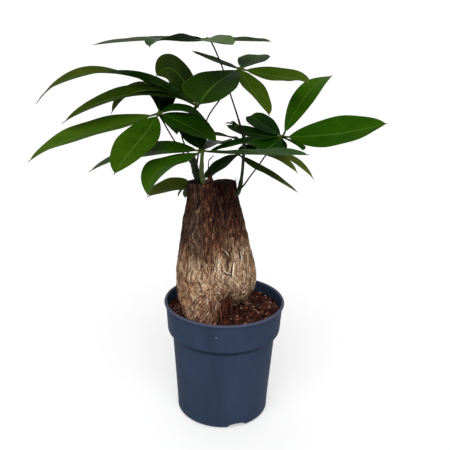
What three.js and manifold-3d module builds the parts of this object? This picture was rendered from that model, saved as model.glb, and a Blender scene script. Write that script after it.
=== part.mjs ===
// A potted money tree: a swollen, forked stump in soil, in a plastic nursery pot, with young shoots
// that carry palmate leaves. Millimetres, +Z up. The origin is the centre of the pot's flat base,
// +X points right and -Y points towards the viewer.

import * as THREE from 'three';
import { mergeVertices } from 'three/addons/utils/BufferGeometryUtils.js';
import Module from 'manifold-3d';

const wasm = await Module();
wasm.setup();

// Gap that every two neighbouring pieces keep.
const CLEARANCE = 0.35;

// Pot: a tapered body under a wider collar with a rolled lip.
const POT_HEIGHT = 120;
const RIM_RADIUS = 60;
const COLLAR_TOP_RADIUS = 58.3;
const COLLAR_FOOT_RADIUS = 56.6;
const COLLAR_FOOT_HEIGHT = 91;
const BODY_TOP_RADIUS = 51.7;
const BODY_TOP_HEIGHT = 85;
const BODY_FOOT_RADIUS = 46.3;
const BASE_RADIUS = 43;
const FOOT_ROUNDING = 6;
const WALL = 1.2;
const FLOOR = 1.8;
const LIP_ROUNDING = 1.6;
const POT_SIDES = 36;
const NOTCHES = 3;
const FIRST_NOTCH_ANGLE = -71;
const NOTCH_WIDTH = 19;
const NOTCH_HEIGHT = 4.6;
const DRAIN_HOLES = 6;
const DRAIN_HOLE_RADIUS = 4;
const DRAIN_CIRCLE_RADIUS = 30;

// Soil: fills the pot to a little under the rim. Crumbs are waves of the given lengths.
const SOIL_HEIGHT = 110;
const SOIL_RINGS = 5;
const SOIL_RELIEF = 0.96;
const SOIL_DOMING = 0.02;
const CRUMB_ALONG_X = 4.1;
const CRUMB_ALONG_Y = 3.7;
const CRUMB_SLANTED = 2.3;

// Blades: thin, slightly folded along the midrib, on a thicker short stalk of their own.
const BLADE_THICKNESS = 0.8;
const BLADE_STALK_THICKNESS = 1.7;
const BLADE_FOLD = 12;
const BLADE_START = 0.05;
const BLADE_END = 0.975;
const NARROWEST = 0.6;
const BASE_ROUNDNESS = 0.8;
const TIP_ROUNDNESS = 0.7;
const BREADTH_FACTOR = 1.407;
const HOOK_FACTOR = 2.12;
const TAIL_START = 0.85;
const CURL_POWER = 5;
const BLADE_STATIONS = [0, 0.05, 0.13, 0.25, 0.4, 0.55, 0.69, 0.82, 0.92, 1];
const HUB_RADIUS = 2.2;
const STALK_RADIUS = 1;
const STALK_END_RADIUS = 1.5;
const STALK_SIDES = 6;

const POT_BLUE = 0x45536a;
const SOIL_BROWN = 0x3a241c;
const BARK = 0x8f7560;
const SHOOT_GREEN = 0x4b5a2c;
const PALE_GREEN = 0x8a9a4e;
const LEAF_GREEN = 0x2f5a1c;
const YOUNG_GREEN = 0x55702c;

const up = new THREE.Vector3(0, 0, 1);
const radians = THREE.MathUtils.degToRad;
const vector = (point) => new THREE.Vector3(...point);

// Closed solid from a geometry whose shared vertices are merged first.
function toSolid(geometry) {
  const bare = geometry.index ? geometry.clone() : geometry;
  bare.deleteAttribute('normal');
  bare.deleteAttribute('uv');
  const merged = mergeVertices(bare, 1e-4);
  const mesh = new wasm.Mesh({
    numProp: 3,
    vertProperties: new Float32Array(merged.attributes.position.array),
    triVerts: new Uint32Array(merged.index.array),
  });
  return new wasm.Manifold(mesh);
}

function toMesh(name, solid, color, roughness) {
  const { vertProperties, triVerts } = solid.getMesh();
  const geometry = new THREE.BufferGeometry();
  geometry.setAttribute('position', new THREE.BufferAttribute(vertProperties, 3));
  geometry.setIndex(new THREE.BufferAttribute(triVerts, 1));
  geometry.computeVertexNormals();
  const material = new THREE.MeshStandardMaterial({ color, roughness, metalness: 0 });
  const mesh = new THREE.Mesh(geometry, material);
  mesh.name = name;
  return mesh;
}

// Closed solid through rings with the same number of points. Each end is closed by a fan.
function loft(rings) {
  const count = rings[0].length;
  const positions = rings.flat().flatMap((point) => point.toArray());
  const centres = [rings[0], rings.at(-1)].map((ring) =>
    ring.reduce((sum, point) => sum.add(point), new THREE.Vector3()).divideScalar(count));
  centres.forEach((centre) => positions.push(...centre.toArray()));
  const startCentre = rings.length * count;
  const index = [];
  for (let i = 0; i < count; i++) {
    const j = (i + 1) % count;
    const last = (rings.length - 1) * count;
    index.push(startCentre, j, i);
    index.push(startCentre + 1, last + i, last + j);
    for (let k = 0; k < rings.length - 1; k++) {
      const low = k * count;
      const high = low + count;
      index.push(low + i, low + j, high + j);
      index.push(low + i, high + j, high + i);
    }
  }
  const geometry = new THREE.BufferGeometry();
  geometry.setAttribute('position', new THREE.Float32BufferAttribute(positions, 3));
  geometry.setIndex(index);
  return toSolid(geometry);
}

// Round stalk along a smooth curve through the points. The radii are spread evenly along it.
function stalk(points, radii, steps, grow = 0) {
  const curve = new THREE.CatmullRomCurve3(points.map(vector));
  const frames = curve.computeFrenetFrames(steps);
  const rings = [];
  for (let k = 0; k <= steps; k++) {
    const centre = curve.getPointAt(k / steps);
    const place = (k / steps) * (radii.length - 1);
    const below = Math.min(Math.floor(place), radii.length - 2);
    const radius = THREE.MathUtils.lerp(radii[below], radii[below + 1], place - below) + grow;
    const ring = [];
    for (let i = 0; i < STALK_SIDES; i++) {
      const angle = (2 * Math.PI * i) / STALK_SIDES;
      const point = centre.clone();
      point.addScaledVector(frames.normals[k], radius * Math.cos(angle));
      point.addScaledVector(frames.binormals[k], radius * Math.sin(angle));
      ring.push(point);
    }
    rings.push(ring);
  }
  return loft(rings);
}

function lathe(profile) {
  const points = profile.map(([radius, height]) => new THREE.Vector2(radius, height));
  return toSolid(new THREE.LatheGeometry(points, POT_SIDES).rotateX(Math.PI / 2));
}

// Pot, its drain holes and the notches in its bottom edge.

function buildPot() {
  const lipFoot = POT_HEIGHT - 2 * LIP_ROUNDING;
  let pot = lathe([
    [0, 0],
    [BASE_RADIUS, 0],
    [BASE_RADIUS + 2, 0.9],
    [BODY_FOOT_RADIUS - 0.4, FOOT_ROUNDING / 2],
    [BODY_FOOT_RADIUS, FOOT_ROUNDING],
    [BODY_TOP_RADIUS, BODY_TOP_HEIGHT],
    [COLLAR_FOOT_RADIUS - 0.5, COLLAR_FOOT_HEIGHT - 2],
    [COLLAR_FOOT_RADIUS, COLLAR_FOOT_HEIGHT],
    [COLLAR_TOP_RADIUS, lipFoot],
    [RIM_RADIUS, lipFoot + 0.8],
    [RIM_RADIUS, POT_HEIGHT - 0.8],
    [RIM_RADIUS - 0.8, POT_HEIGHT],
    [COLLAR_TOP_RADIUS - WALL + 0.6, POT_HEIGHT],
    [COLLAR_TOP_RADIUS - WALL, POT_HEIGHT - 0.8],
    [COLLAR_FOOT_RADIUS - WALL, COLLAR_FOOT_HEIGHT + 0.4],
    [COLLAR_FOOT_RADIUS - WALL - 0.5, COLLAR_FOOT_HEIGHT - 1.4],
    [BODY_TOP_RADIUS - WALL, BODY_TOP_HEIGHT + 0.8],
    [BODY_FOOT_RADIUS - WALL, FOOT_ROUNDING],
    [BASE_RADIUS, FLOOR],
    [0, FLOOR],
  ]);
  for (let i = 0; i < NOTCHES; i++) {
    const notch = new THREE.BoxGeometry(2 * FOOT_ROUNDING, NOTCH_WIDTH, 2 * NOTCH_HEIGHT);
    notch.translate(BASE_RADIUS + FOOT_ROUNDING + 0.5, 0, 0);
    notch.rotateZ(radians(FIRST_NOTCH_ANGLE + (360 * i) / NOTCHES));
    pot = pot.subtract(toSolid(notch));
  }
  for (let i = 0; i < DRAIN_HOLES; i++) {
    const angle = (2 * Math.PI * i) / DRAIN_HOLES;
    const hole = new THREE.CylinderGeometry(DRAIN_HOLE_RADIUS, DRAIN_HOLE_RADIUS, 3 * FLOOR, 12);
    hole.rotateX(Math.PI / 2);
    hole.translate(DRAIN_CIRCLE_RADIUS * Math.cos(angle), DRAIN_CIRCLE_RADIUS * Math.sin(angle), 0);
    pot = pot.subtract(toSolid(hole));
  }
  return pot;
}

// Stump: three swollen limbs, of which two end as cut stems and the third fills between them.
// A row holds the height, the centre's x and y, and the half-breadths along x and y.

const LEFT_LIMB = [
  [84, -18, -30, 7, 7],
  [98, -19, -31, 11, 11],
  [110, -21, -29, 14.5, 14],
  [121, -22.5, -23, 17.5, 19],
  [133, -24, -18, 21, 23.5],
  [147, -24.5, -15, 21.5, 25],
  [165, -24.5, -13, 20.5, 24],
  [184, -24, -12, 19, 21],
  [202, -24, -12, 17, 17.5],
  [220, -24.5, -12, 13.5, 13.5],
  [234, -25, -12, 12, 11.5],
  [243, -25, -12, 11.6, 11],
];
const RIGHT_LIMB = [
  [86, 6, 20, 6, 6],
  [100, 7, 19, 9.5, 9],
  [112, 8, 16, 13, 12.5],
  [123, 9, 10, 16.5, 17.5],
  [134, 9, 6, 20.5, 22],
  [146, 8.5, 4, 22.5, 24],
  [160, 7, 4, 21, 23.5],
  [178, 4, 5, 19, 21],
  [196, 1.5, 6, 17, 18.5],
  [213, -0.5, 7, 14.5, 15],
  [226, -1.5, 8, 12, 12],
  [239, -2, 8, 10.8, 10.6],
];
const HEART = [
  [122, -8, 2, 11, 17],
  [134, -8, -5, 15, 22],
  [150, -8, -7, 17, 25],
  [172, -9, -6, 16, 24],
  [192, -10, -4, 14, 19],
  [208, -11, -3, 10, 12],
  [222, -12.5, -1, 7, 9],
  [236, -13, 0, 3.5, 7],
];
const STUMP_SIDES = 26;
const RIDGES = 9;
const RIDGE_DEPTH = 0.03;
const RIDGE_DRIFT = 30;

function limb(rows, grow) {
  const rings = rows.map(([height, x, y, halfX, halfY]) => {
    const ring = [];
    for (let i = 0; i < STUMP_SIDES; i++) {
      const angle = (2 * Math.PI * i) / STUMP_SIDES;
      const ridge = 1 + RIDGE_DEPTH * Math.sin(RIDGES * angle + height / RIDGE_DRIFT);
      const alongX = (halfX * ridge + grow) * Math.cos(angle);
      const alongY = (halfY * ridge + grow) * Math.sin(angle);
      ring.push(new THREE.Vector3(x + alongX, y + alongY, height));
    }
    return ring;
  });
  rings[0].forEach((point) => point.setZ(point.z - grow));
  rings.at(-1).forEach((point) => point.setZ(point.z + grow));
  return loft(rings);
}

function stump(grow = 0) {
  return limb(LEFT_LIMB, grow).add(limb(RIGHT_LIMB, grow)).add(limb(HEART, grow));
}

// Soil: a plug of the pot's inside shape with a crumbly top, and a plain hole for the stump.

function buildSoil() {
  const inset = WALL + CLEARANCE;
  const profile = [
    [0, FLOOR + CLEARANCE],
    [BASE_RADIUS - 0.5, FLOOR + CLEARANCE],
    [BODY_FOOT_RADIUS - inset, FOOT_ROUNDING + 0.5],
    [BODY_TOP_RADIUS - inset, BODY_TOP_HEIGHT + 1.1],
    [COLLAR_FOOT_RADIUS - inset - 0.6, COLLAR_FOOT_HEIGHT - 0.8],
    [COLLAR_FOOT_RADIUS - inset, COLLAR_FOOT_HEIGHT + 0.8],
  ];
  const topRadius = COLLAR_TOP_RADIUS - inset - 0.7;
  for (let ring = SOIL_RINGS; ring >= 0; ring--) {
    profile.push([(topRadius * ring) / SOIL_RINGS, SOIL_HEIGHT]);
  }
  const points = profile.map(([radius, height]) => new THREE.Vector2(radius, height));
  const geometry = new THREE.LatheGeometry(points, POT_SIDES).rotateX(Math.PI / 2);
  const position = geometry.attributes.position;
  for (let i = 0; i < position.count; i++) {
    const [x, y, z] = [position.getX(i), position.getY(i), position.getZ(i)];
    if (z < SOIL_HEIGHT - 1) continue;
    const square = Math.sin(x / CRUMB_ALONG_X + 1) * Math.cos(y / CRUMB_ALONG_Y);
    const slanted = 0.6 * Math.sin((x - y) / CRUMB_SLANTED);
    position.setZ(i, z + SOIL_RELIEF * (square + slanted) - SOIL_DOMING * Math.hypot(x, y));
  }
  return toSolid(geometry).subtract(stump(CLEARANCE));
}

// Shoots: each is rooted in a plain socket in the stump.

const SHOOTS = {
  shoot_left: {
    path: [[-25, -9, 231], [-26.5, -9, 243], [-30, -8.5, 256], [-32.5, -8, 266]],
    radii: [3.3, 3.3, 3, 2.4],
    color: SHOOT_GREEN,
  },
  shoot_front: {
    path: [[-21.5, -17, 229], [-21.5, -18.5, 242], [-22.8, -25, 256], [-22.5, -31, 265]],
    radii: [2.4, 2.3, 2.1, 1.9],
    color: PALE_GREEN,
  },
  shoot_right: {
    path: [[4, 7, 222], [11, 5, 229.5], [14, 4, 245], [15, 2.5, 265], [15, 2, 281], [12, 3, 293]],
    radii: [2.3, 2.4, 1.5, 1.4, 1.9, 1.3],
    color: SHOOT_GREEN,
  },
};

function shoot({ path, radii }, grow = 0) {
  return stalk(path, radii, 2 * path.length, grow);
}

// Leaves. Each has a hub, a stalk that ends on a shoot or in the stump, and leaflets. A leaflet's
// tip is given from the hub. Its bow is how far the middle of its midrib stands off the straight
// line to the tip, and its hook how far it stands up before it bends down to the tip. Its tail, if
// it has one, is how far the last part hangs down. Roll and twist turn the blade about its midrib,
// in degrees: roll all along, and twist more to the tip. A curl turns only its last part.

const LEAVES = {
  leaf_top: {
    hub: [-20, 5, 368.6],
    route: [[12, 3, 290.5], [8, 5, 303], [1.5, 8, 321], [-6.5, 8, 345], [-16, 6, 365.5]],
    on: 'shoot_right',
    leaflets: [
      { tip: [-45, -53, -6], bow: [-6, 0, -6], width: 33, roll: 7, twist: -2, hook: 9 },
      { tip: [-104, 10, -7], bow: [0, 0, 2], width: 27, roll: 0, twist: 0, hook: 0 },
      { tip: [23, -67, -2], bow: [-6, 0, 2], width: 30, roll: 15, twist: -14, hook: -2 },
      { tip: [58, 20, -1], bow: [0, 0, 0], width: 26, roll: -2, twist: 0, hook: 0 },
      { tip: [-22, 74, -4], bow: [0, 0, 0], width: 24, roll: 0, twist: 0, hook: 0 },
    ],
  },
  leaf_upper_right: {
    hub: [10, 5, 344],
    route: [[-28.8, -8.3, 254], [-26.2, -2.5, 270], [-19.4, 7, 298], [-8.1, 6, 316]],
    on: 'shoot_left',
    leaflets: [
      { tip: [-46, 44, 13], bow: [-1, 0, -1.5], width: 17, roll: 4, twist: -2, hook: 0 },
      { tip: [19, 68, 9.5], bow: [3.5, 0, 0], width: 30, roll: 0, twist: 0, hook: 0 },
      { tip: [60, -15, -11], bow: [10, 2, -6], width: 29, roll: 35, twist: -32, hook: 5 },
      { tip: [25, -48, -35], bow: [-3, 0, 2], width: 32, roll: -4, twist: -26, hook: 0 },
      { tip: [-32, -88, -22], bow: [-8, -5, 1], width: 44, roll: -3, twist: -9, hook: -3 },
    ],
  },
  leaf_right: {
    hub: [50, -5, 285],
    route: [
      [11.4, 4.6, 231.5], [16.4, -2, 238.6], [21.8, -11, 249.5],
      [28.8, -18, 261.4], [36, -17, 272],
    ],
    on: 'shoot_right',
    leaflets: [
      { tip: [53, 70, 50], bow: [-3, -8, 8], width: 23.5, roll: 35, twist: -50, hook: 3 },
      { tip: [86, -32, 19], bow: [5, -4, -3], width: 37, roll: 55, twist: -36, hook: 1 },
      { tip: [13, -52, -2], bow: [0, 0, 0], width: 17, roll: -22, twist: 0, hook: 1 },
      { tip: [-29, 65, 12], bow: [-3, 5, 0], width: 22, roll: -20, twist: 0, hook: 0, tail: 5 },
      { tip: [-52, 45, 3], bow: [0, 0, -3], width: 17, roll: -20, twist: 0, hook: 0 },
      { tip: [-67, -22, -11], bow: [1, 0, 2], width: 21, roll: 0, twist: 0, hook: 0 },
      { tip: [-22, -42, -5], bow: [-2, 0, -1], width: 32, roll: -10, twist: -5, hook: -3 },
    ],
  },
  leaf_front: {
    hub: [-21.5, -38, 277],
    route: [[-22.6, -28.8, 261.5], [-22.3, -33.5, 269]],
    stem: 1.7,
    on: 'shoot_front',
    leaflets: [
      { tip: [-102, 9, -23], bow: [0, 0, 5], width: 35, roll: -18, twist: 13, hook: 3 },
      { tip: [-43, -40, -32], bow: [-8.5, -6, -8], width: 37, roll: -2, twist: 11, hook: 16 },
      { tip: [86, -47, 8], bow: [0, 0, -2], width: 32, roll: -14, twist: 18, hook: 1 },
      { tip: [-10, 24, 12], bow: [-4, 0, 2], width: 28, roll: 8, twist: 0, hook: 2 },
      { tip: [24, 56, -2], bow: [-2, 0, 3], width: 24, roll: 0, twist: -10, hook: 0 },
    ],
  },
  leaf_left: {
    hub: [-61, -20, 306],
    route: [[-29, -9, 252], [-35, -9, 262], [-48, -11, 280], [-57, -16, 297]],
    on: 'shoot_left',
    leaflets: [
      { tip: [-109, -30, -39.5], bow: [-4, 0, -3], width: 40, roll: -19, twist: 16, hook: 7 },
      { tip: [-28, -72, -39], bow: [0, 2, -6], width: 33, roll: -20, twist: 15, hook: 6 },
      { tip: [52, -27, -19], bow: [1, -3, 3], width: 34, roll: 20, twist: -17, hook: -2 },
      { tip: [47, 22, -18], bow: [1, -3, 9], width: 30, roll: 4, twist: 12, hook: 1 },
      { tip: [14, 20, -22], bow: [0, 0, 3], width: 22, roll: 0, twist: 0, hook: 1 },
      { tip: [-5, 75, 17], bow: [0, -3, 2.5], width: 30, roll: 54, twist: -95, hook: 0 },
    ],
  },
  leaf_upper_left: {
    hub: [-29, 12, 309],
    route: [[-31, -7, 260], [-37, -4, 270], [-43, 2, 286], [-38, 9, 300]],
    on: 'shoot_left',
    leaflets: [
      {
        tip: [-154, 14, 1], bow: [1, -18, 23.2], width: 24, roll: 88, twist: -182, hook: 6,
        curl: 98, tail: 4,
      },
      { tip: [-115, -44, -12], bow: [9, 0, 12.3], width: 31, roll: -16, twist: 7, hook: 7 },
      { tip: [-76.5, -20, -6.5], bow: [-7, 0, 10.5], width: 26, roll: -6, twist: -12, hook: 9 },
      { tip: [-46, 69, 20], bow: [3, 2, 1], width: 33, roll: -45, twist: -80, hook: 16 },
      { tip: [26, 53, 8], bow: [0, 0, 3], width: 30, roll: 0, twist: 0, hook: 1 },
    ],
  },
  leaf_low_right: {
    hub: [10, 22, 263],
    route: [[-18.5, -11, 235], [-17.5, -9, 244], [-8, 4, 251], [3, 15, 258]],
    foot: 2.4,
    on: 'trunk',
    leaflets: [
      { tip: [54, -43, -8], bow: [0, 0, 6], width: 15, roll: 8, twist: -4, hook: 3 },
      { tip: [71, -29, -17], bow: [3, 0, 8], width: 20, roll: -2, twist: 3, hook: 3 },
      { tip: [52, -66, -19.5], bow: [0, 0, -3.2], width: 18, roll: 8, twist: -36, hook: 2 },
      { tip: [-32, -23, -20], bow: [1, 0, 4], width: 26, roll: 2, twist: 8, hook: -4 },
      { tip: [32, 50, -5], bow: [0, 0, 2], width: 24, roll: 0, twist: 0, hook: 1 },
    ],
  },
  leaf_low_left: {
    hub: [-34, 8, 236.5],
    route: [[-29, -4, 231], [-31.5, 2, 234]],
    on: 'trunk',
    leaflets: [
      { tip: [-37, -33, -5], bow: [2, 10, 0], width: 26, roll: -28, twist: 31, hook: 0 },
      { tip: [-13, 2, -14], bow: [0, 0, 2], width: 14, roll: 0, twist: 0, hook: 1 },
      { tip: [-6, 4, -16], bow: [0, 0, 1], width: 12, roll: 0, twist: 0, hook: 0 },
    ],
  },
  leaf_young: {
    hub: [7.5, -1, 294],
    route: [[12.6, 2.4, 287.5], [9.5, -0.5, 291]],
    on: 'shoot_right',
    leaflets: [
      { tip: [-10, -2, 2], bow: [0, 0, 1], width: 4, roll: 0, twist: 0, hook: 0 },
      { tip: [-6, -7, 3], bow: [0, 0, 1], width: 4, roll: 0, twist: 0, hook: 0 },
      { tip: [-5, 3, 3], bow: [0, 0, 1], width: 4, roll: 0, twist: 0, hook: 0 },
    ],
  },
  leaf_back: {
    hub: [12, 40, 273],
    route: [[14.5, 3, 275], [15, 11, 273], [14, 25, 275]],
    on: 'shoot_right',
    leaflets: [
      { tip: [-30, 50, -3], bow: [0, 0, 3], width: 18, roll: 9, twist: 16, hook: -2 },
      { tip: [-26, 20, -6], bow: [0, 0, 0], width: 18, roll: 8, twist: 4, hook: -2 },
      { tip: [15, 75, -20], bow: [0, 0, 2], width: 28, roll: 0, twist: 0, hook: 1 },
      { tip: [49, 40, -14], bow: [0, 0, 2], width: 26, roll: 0, twist: 0, hook: 1 },
    ],
  },
};

// Half of a blade's breadth at a place between its base, 0, and its tip, 1.
function halfBreadth(place, width) {
  const along = THREE.MathUtils.clamp((place - BLADE_START) / (BLADE_END - BLADE_START), 0, 1);
  const form = along ** BASE_ROUNDNESS * (1 - along) ** TIP_ROUNDNESS;
  return Math.max(BREADTH_FACTOR * width * form, NARROWEST);
}

// Point of a midrib, measured from the hub, at a place along it.
function midrib({ tip, bow, hook, tail = 0 }, place) {
  const hanging = Math.max(0, (place - TAIL_START) / (1 - TAIL_START));
  const point = vector(tip).multiplyScalar(place);
  point.addScaledVector(vector(bow), 4 * place * (1 - place));
  point.addScaledVector(up, HOOK_FACTOR * hook * (place - place ** 4));
  return point.addScaledVector(up, -tail * hanging ** 2);
}

function buildLeaflet(hub, leaflet) {
  const { roll, twist, curl = 0 } = leaflet;
  const sideways = new THREE.Vector3(leaflet.tip[1], -leaflet.tip[0], 0).normalize();
  const rings = BLADE_STATIONS.map((place) => {
    const centre = midrib(leaflet, place).add(vector(hub));
    const along = midrib(leaflet, place + 0.01).sub(midrib(leaflet, place - 0.01)).normalize();
    const normal = sideways.clone().cross(along).normalize();
    const side = along.clone().cross(normal);
    const turn = -radians(roll + twist * place + curl * place ** CURL_POWER);
    normal.applyAxisAngle(along, -turn);
    side.applyAxisAngle(along, -turn);
    const stalked = Math.max(0, 1 - place / BLADE_START);
    const thickness = THREE.MathUtils.lerp(BLADE_THICKNESS, BLADE_STALK_THICKNESS, stalked);
    const half = halfBreadth(place, leaflet.width);
    const reach = half * Math.cos(radians(BLADE_FOLD));
    const lift = half * Math.sin(radians(BLADE_FOLD));
    const corner = (across, height) =>
      centre.clone().addScaledVector(side, across).addScaledVector(normal, height);
    return [
      corner(-reach, lift + thickness / 2),
      corner(0, thickness / 2),
      corner(reach, lift + thickness / 2),
      corner(reach, lift - thickness / 2),
      corner(0, -thickness / 2),
      corner(-reach, lift - thickness / 2),
    ];
  });
  return blade(rings);
}

// Blade through six-point rings: left, middle and right above, then right, middle and left below.
// Both faces are split along the same diagonals, so they never cross.
function blade(rings) {
  const positions = rings.flat().flatMap((point) => point.toArray());
  const index = [];
  const faces = [[0, 1], [1, 2], [2, 3], [3, 4], [4, 5], [5, 0]];
  for (let k = 0; k < rings.length - 1; k++) {
    const near = 6 * k;
    const far = near + 6;
    for (const [i, j] of faces) {
      const flipped = i === 3 || i === 4;
      if (flipped) index.push(near + i, near + j, far + i, near + j, far + j, far + i);
      else index.push(near + i, far + j, far + i, near + i, near + j, far + j);
    }
  }
  const end = 6 * (rings.length - 1);
  index.push(0, 4, 1, 0, 5, 4, 1, 3, 2, 1, 4, 3);
  index.push(end, end + 1, end + 4, end, end + 4, end + 5);
  index.push(end + 1, end + 2, end + 3, end + 1, end + 3, end + 4);
  const geometry = new THREE.BufferGeometry();
  geometry.setAttribute('position', new THREE.Float32BufferAttribute(positions, 3));
  geometry.setIndex(index);
  return toSolid(geometry);
}

function leafStalk({ route, hub, foot = STALK_END_RADIUS, stem = STALK_RADIUS }, grow = 0) {
  const radii = [foot, stem, stem, stem, STALK_END_RADIUS];
  return stalk([...route, hub], radii, 2 * route.length + 1, grow);
}

function buildLeaf(leaf) {
  const ball = new THREE.IcosahedronGeometry(HUB_RADIUS).translate(...leaf.hub);
  let solid = leafStalk(leaf).add(toSolid(ball));
  for (const leaflet of leaf.leaflets) solid = solid.add(buildLeaflet(leaf.hub, leaflet));
  return solid;
}

// Assembly.

const group = new THREE.Group();
group.add(toMesh('pot', buildPot(), POT_BLUE, 0.6));
group.add(toMesh('soil', buildSoil(), SOIL_BROWN, 0.95));

let trunk = stump();
for (const row of Object.values(SHOOTS)) trunk = trunk.subtract(shoot(row, CLEARANCE));
for (const leaf of Object.values(LEAVES)) {
  if (leaf.on === 'trunk') trunk = trunk.subtract(leafStalk(leaf, CLEARANCE));
}
group.add(toMesh('trunk', trunk, BARK, 0.9));

for (const [name, row] of Object.entries(SHOOTS)) group.add(toMesh(name, shoot(row), row.color, 0.6));

for (const [name, leaf] of Object.entries(LEAVES)) {
  let solid = buildLeaf(leaf);
  if (leaf.on !== 'trunk') solid = solid.subtract(shoot(SHOOTS[leaf.on], CLEARANCE));
  group.add(toMesh(name, solid, name === 'leaf_young' ? YOUNG_GREEN : LEAF_GREEN, 0.45));
}

export default group;
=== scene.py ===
# A potted money tree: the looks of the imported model, in the model's own frame.
# Sizes are in millimetres, and become metres where a mesh is made.

import math
import random

import bmesh
import bpy
import numpy as np
from mathutils import Matrix, Vector, noise
from mathutils.bvhtree import BVHTree


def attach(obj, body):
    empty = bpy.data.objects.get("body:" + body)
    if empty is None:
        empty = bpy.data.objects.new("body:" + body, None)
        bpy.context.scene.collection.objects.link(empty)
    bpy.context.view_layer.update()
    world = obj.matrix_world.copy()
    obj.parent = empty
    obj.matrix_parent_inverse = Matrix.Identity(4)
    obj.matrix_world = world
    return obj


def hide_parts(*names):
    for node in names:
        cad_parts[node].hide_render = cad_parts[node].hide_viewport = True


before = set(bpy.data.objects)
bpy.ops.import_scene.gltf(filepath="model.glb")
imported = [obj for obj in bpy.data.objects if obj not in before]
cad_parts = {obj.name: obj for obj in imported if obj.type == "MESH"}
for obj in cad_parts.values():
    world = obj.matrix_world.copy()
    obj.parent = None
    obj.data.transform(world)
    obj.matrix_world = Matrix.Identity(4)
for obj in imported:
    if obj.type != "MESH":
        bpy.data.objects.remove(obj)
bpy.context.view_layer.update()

MM = 0.001
SEED = 11
randomness = random.Random(SEED)
noise.seed_set(SEED)

# Camera, from the photograph: its place in millimetres, its angles in degrees, its lens in pixels.
CAMERA_PLACE = (0, -560, 380)
CAMERA_PITCH = 18.04
CAMERA_ROLL = 1.2
CAMERA_YAW = 0.09
FOCAL_PIXELS = 610.6
PHOTO_WIDTH = 450
SENSOR = 36

# Studio: the floor in metres, and how bright the light from round about is.
FLOOR_REACH = 30
FLOOR_LEVEL = -0.0004
HORIZON_BAND = (0.05, 0.12)
HORIZON_GLOW = 1.02
SKY_GLOW = 0.5
FLOOR_GREY = 205
FLOOR_GLOW = 0.4

# Suns: the direction that each shines in, its strength, and its softness in degrees.
SUNS = {
    "key": ((0.12, 1.0, -1.25), 1.9, 50),
    "front": ((-0.25, 1.0, -0.35), 0.4, 60),
    "back": ((0.3, -0.9, -0.8), 0.35, 60),
}

# A lathe profile starts and ends at this radius, next to the axis.
AXIS = 0.01

# Pot
POT_HEIGHT = 120
RIM_RADIUS = 60
COLLAR_TOP_RADIUS = 58.3
COLLAR_FOOT_RADIUS = 56.6
COLLAR_FOOT_HEIGHT = 91
COLLAR_HEIGHT = 26
BODY_TOP_RADIUS = 51.7
BODY_TOP_HEIGHT = 85
BODY_FOOT_RADIUS = 46.3
BASE_RADIUS = 43
FOOT_ROUNDING = 6
WALL = 1.2
FLOOR = 1.8
LIP_ROUNDING = 1.6
POT_SIDES = 180
NOTCHES = 3
FIRST_NOTCH_ANGLE = -71
NOTCH_WIDTH = 19
NOTCH_HEIGHT = 4.6
DRAIN_HOLES = 6
DRAIN_HOLE_RADIUS = 4
DRAIN_CIRCLE_RADIUS = 30
FOOT_RECESS = 1
FOOT_CURVE = 4.2
LIP_CURVE = 1.1
MOULD_RINGS = (8.5, 10.2, 12.4)
MOULD_RING_RISE = 0.14
MOULD_RING_BREADTH = 0.35
INNER_TAPER = 1.6
INNER_STRAIGHT = 27
NOTCH_SQUARENESS = 0.6
GATE_MARK = (-6.5, 106.5)
GATE_MARK_RADII = (0.95, 0.95, 0.35)
SHARP_EDGE = 38

# Heights in metres between which painted shade darkens the crease under the collar, and a painted
# highlight turns the lip pale.
COLLAR_SHADE_FOOT = (0.084, 0.0865)
COLLAR_SHADE_TOP = (0.0915, 0.0895)
LIP_HIGHLIGHT = (0.1184, 0.1192)

# Soil
SOIL_HEIGHT = 110
SOIL_RADIUS = 56
SOIL_RINGS = 70
SOIL_SIDES = 220
SOIL_DOMING = 0.02
CRUMB_ALONG_X = 4.1
CRUMB_ALONG_Y = 3.7
CRUMB_SLANTED = 2.3
CRUMB_RELIEF = 0.55
COARSE_WAVE = 9
COARSE_RELIEF = 0.9
FINE_WAVE = 1.5
FINE_RELIEF = 0.55
CRUMBS = 950
SMALL_CRUMB = (0.45, 1.1)
LARGE_CRUMB = (1.1, 2.2)
PERLITE = 38
PERLITE_SIZE = (0.3, 0.75)
ROOTLETS = 34
ROOTLET_STEP = 2.1
ROOTLET_RADII = (0.16, 0.3, 0.28, 0.12)

# Blades
BLADE_FOLD = 12
BLADE_START = 0.05
BLADE_END = 0.975
NARROWEST = 0.6
BASE_ROUNDNESS = 0.8
TIP_ROUNDNESS = 0.7
BREADTH_FACTOR = 1.407
HOOK_FACTOR = 2.12
TAIL_START = 0.85
CURL_POWER = 5
MARGIN_WAVE = 0.028
RIGHT_WAVES = 17
LEFT_WAVES = 14
VEINS = 15
VEIN_SWEEP = 3.2
VEIN_BEND = 0.85
STATIONS = 46
HALF_ACROSS = (0.05, 0.14, 0.28, 0.44, 0.62, 0.8, 0.94, 1)
ACROSS = (*(-x for x in reversed(HALF_ACROSS)), 0, *HALF_ACROSS)
BLADE_MIDDLE_THICKNESS = 0.42
BLADE_MARGIN_THICKNESS = 0.2
RIB_HEIGHT = 0.75
RIB_BREADTH = 0.75
BLADE_STALK_RADII = (1.15, 1.0, 0.8, 0.55)
HUB_RADIUS = 1.9
STALK_RADIUS = 0.72
STALK_END_RADIUS = 1.3
STALK_TOP_RADIUS = 1.7

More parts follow.
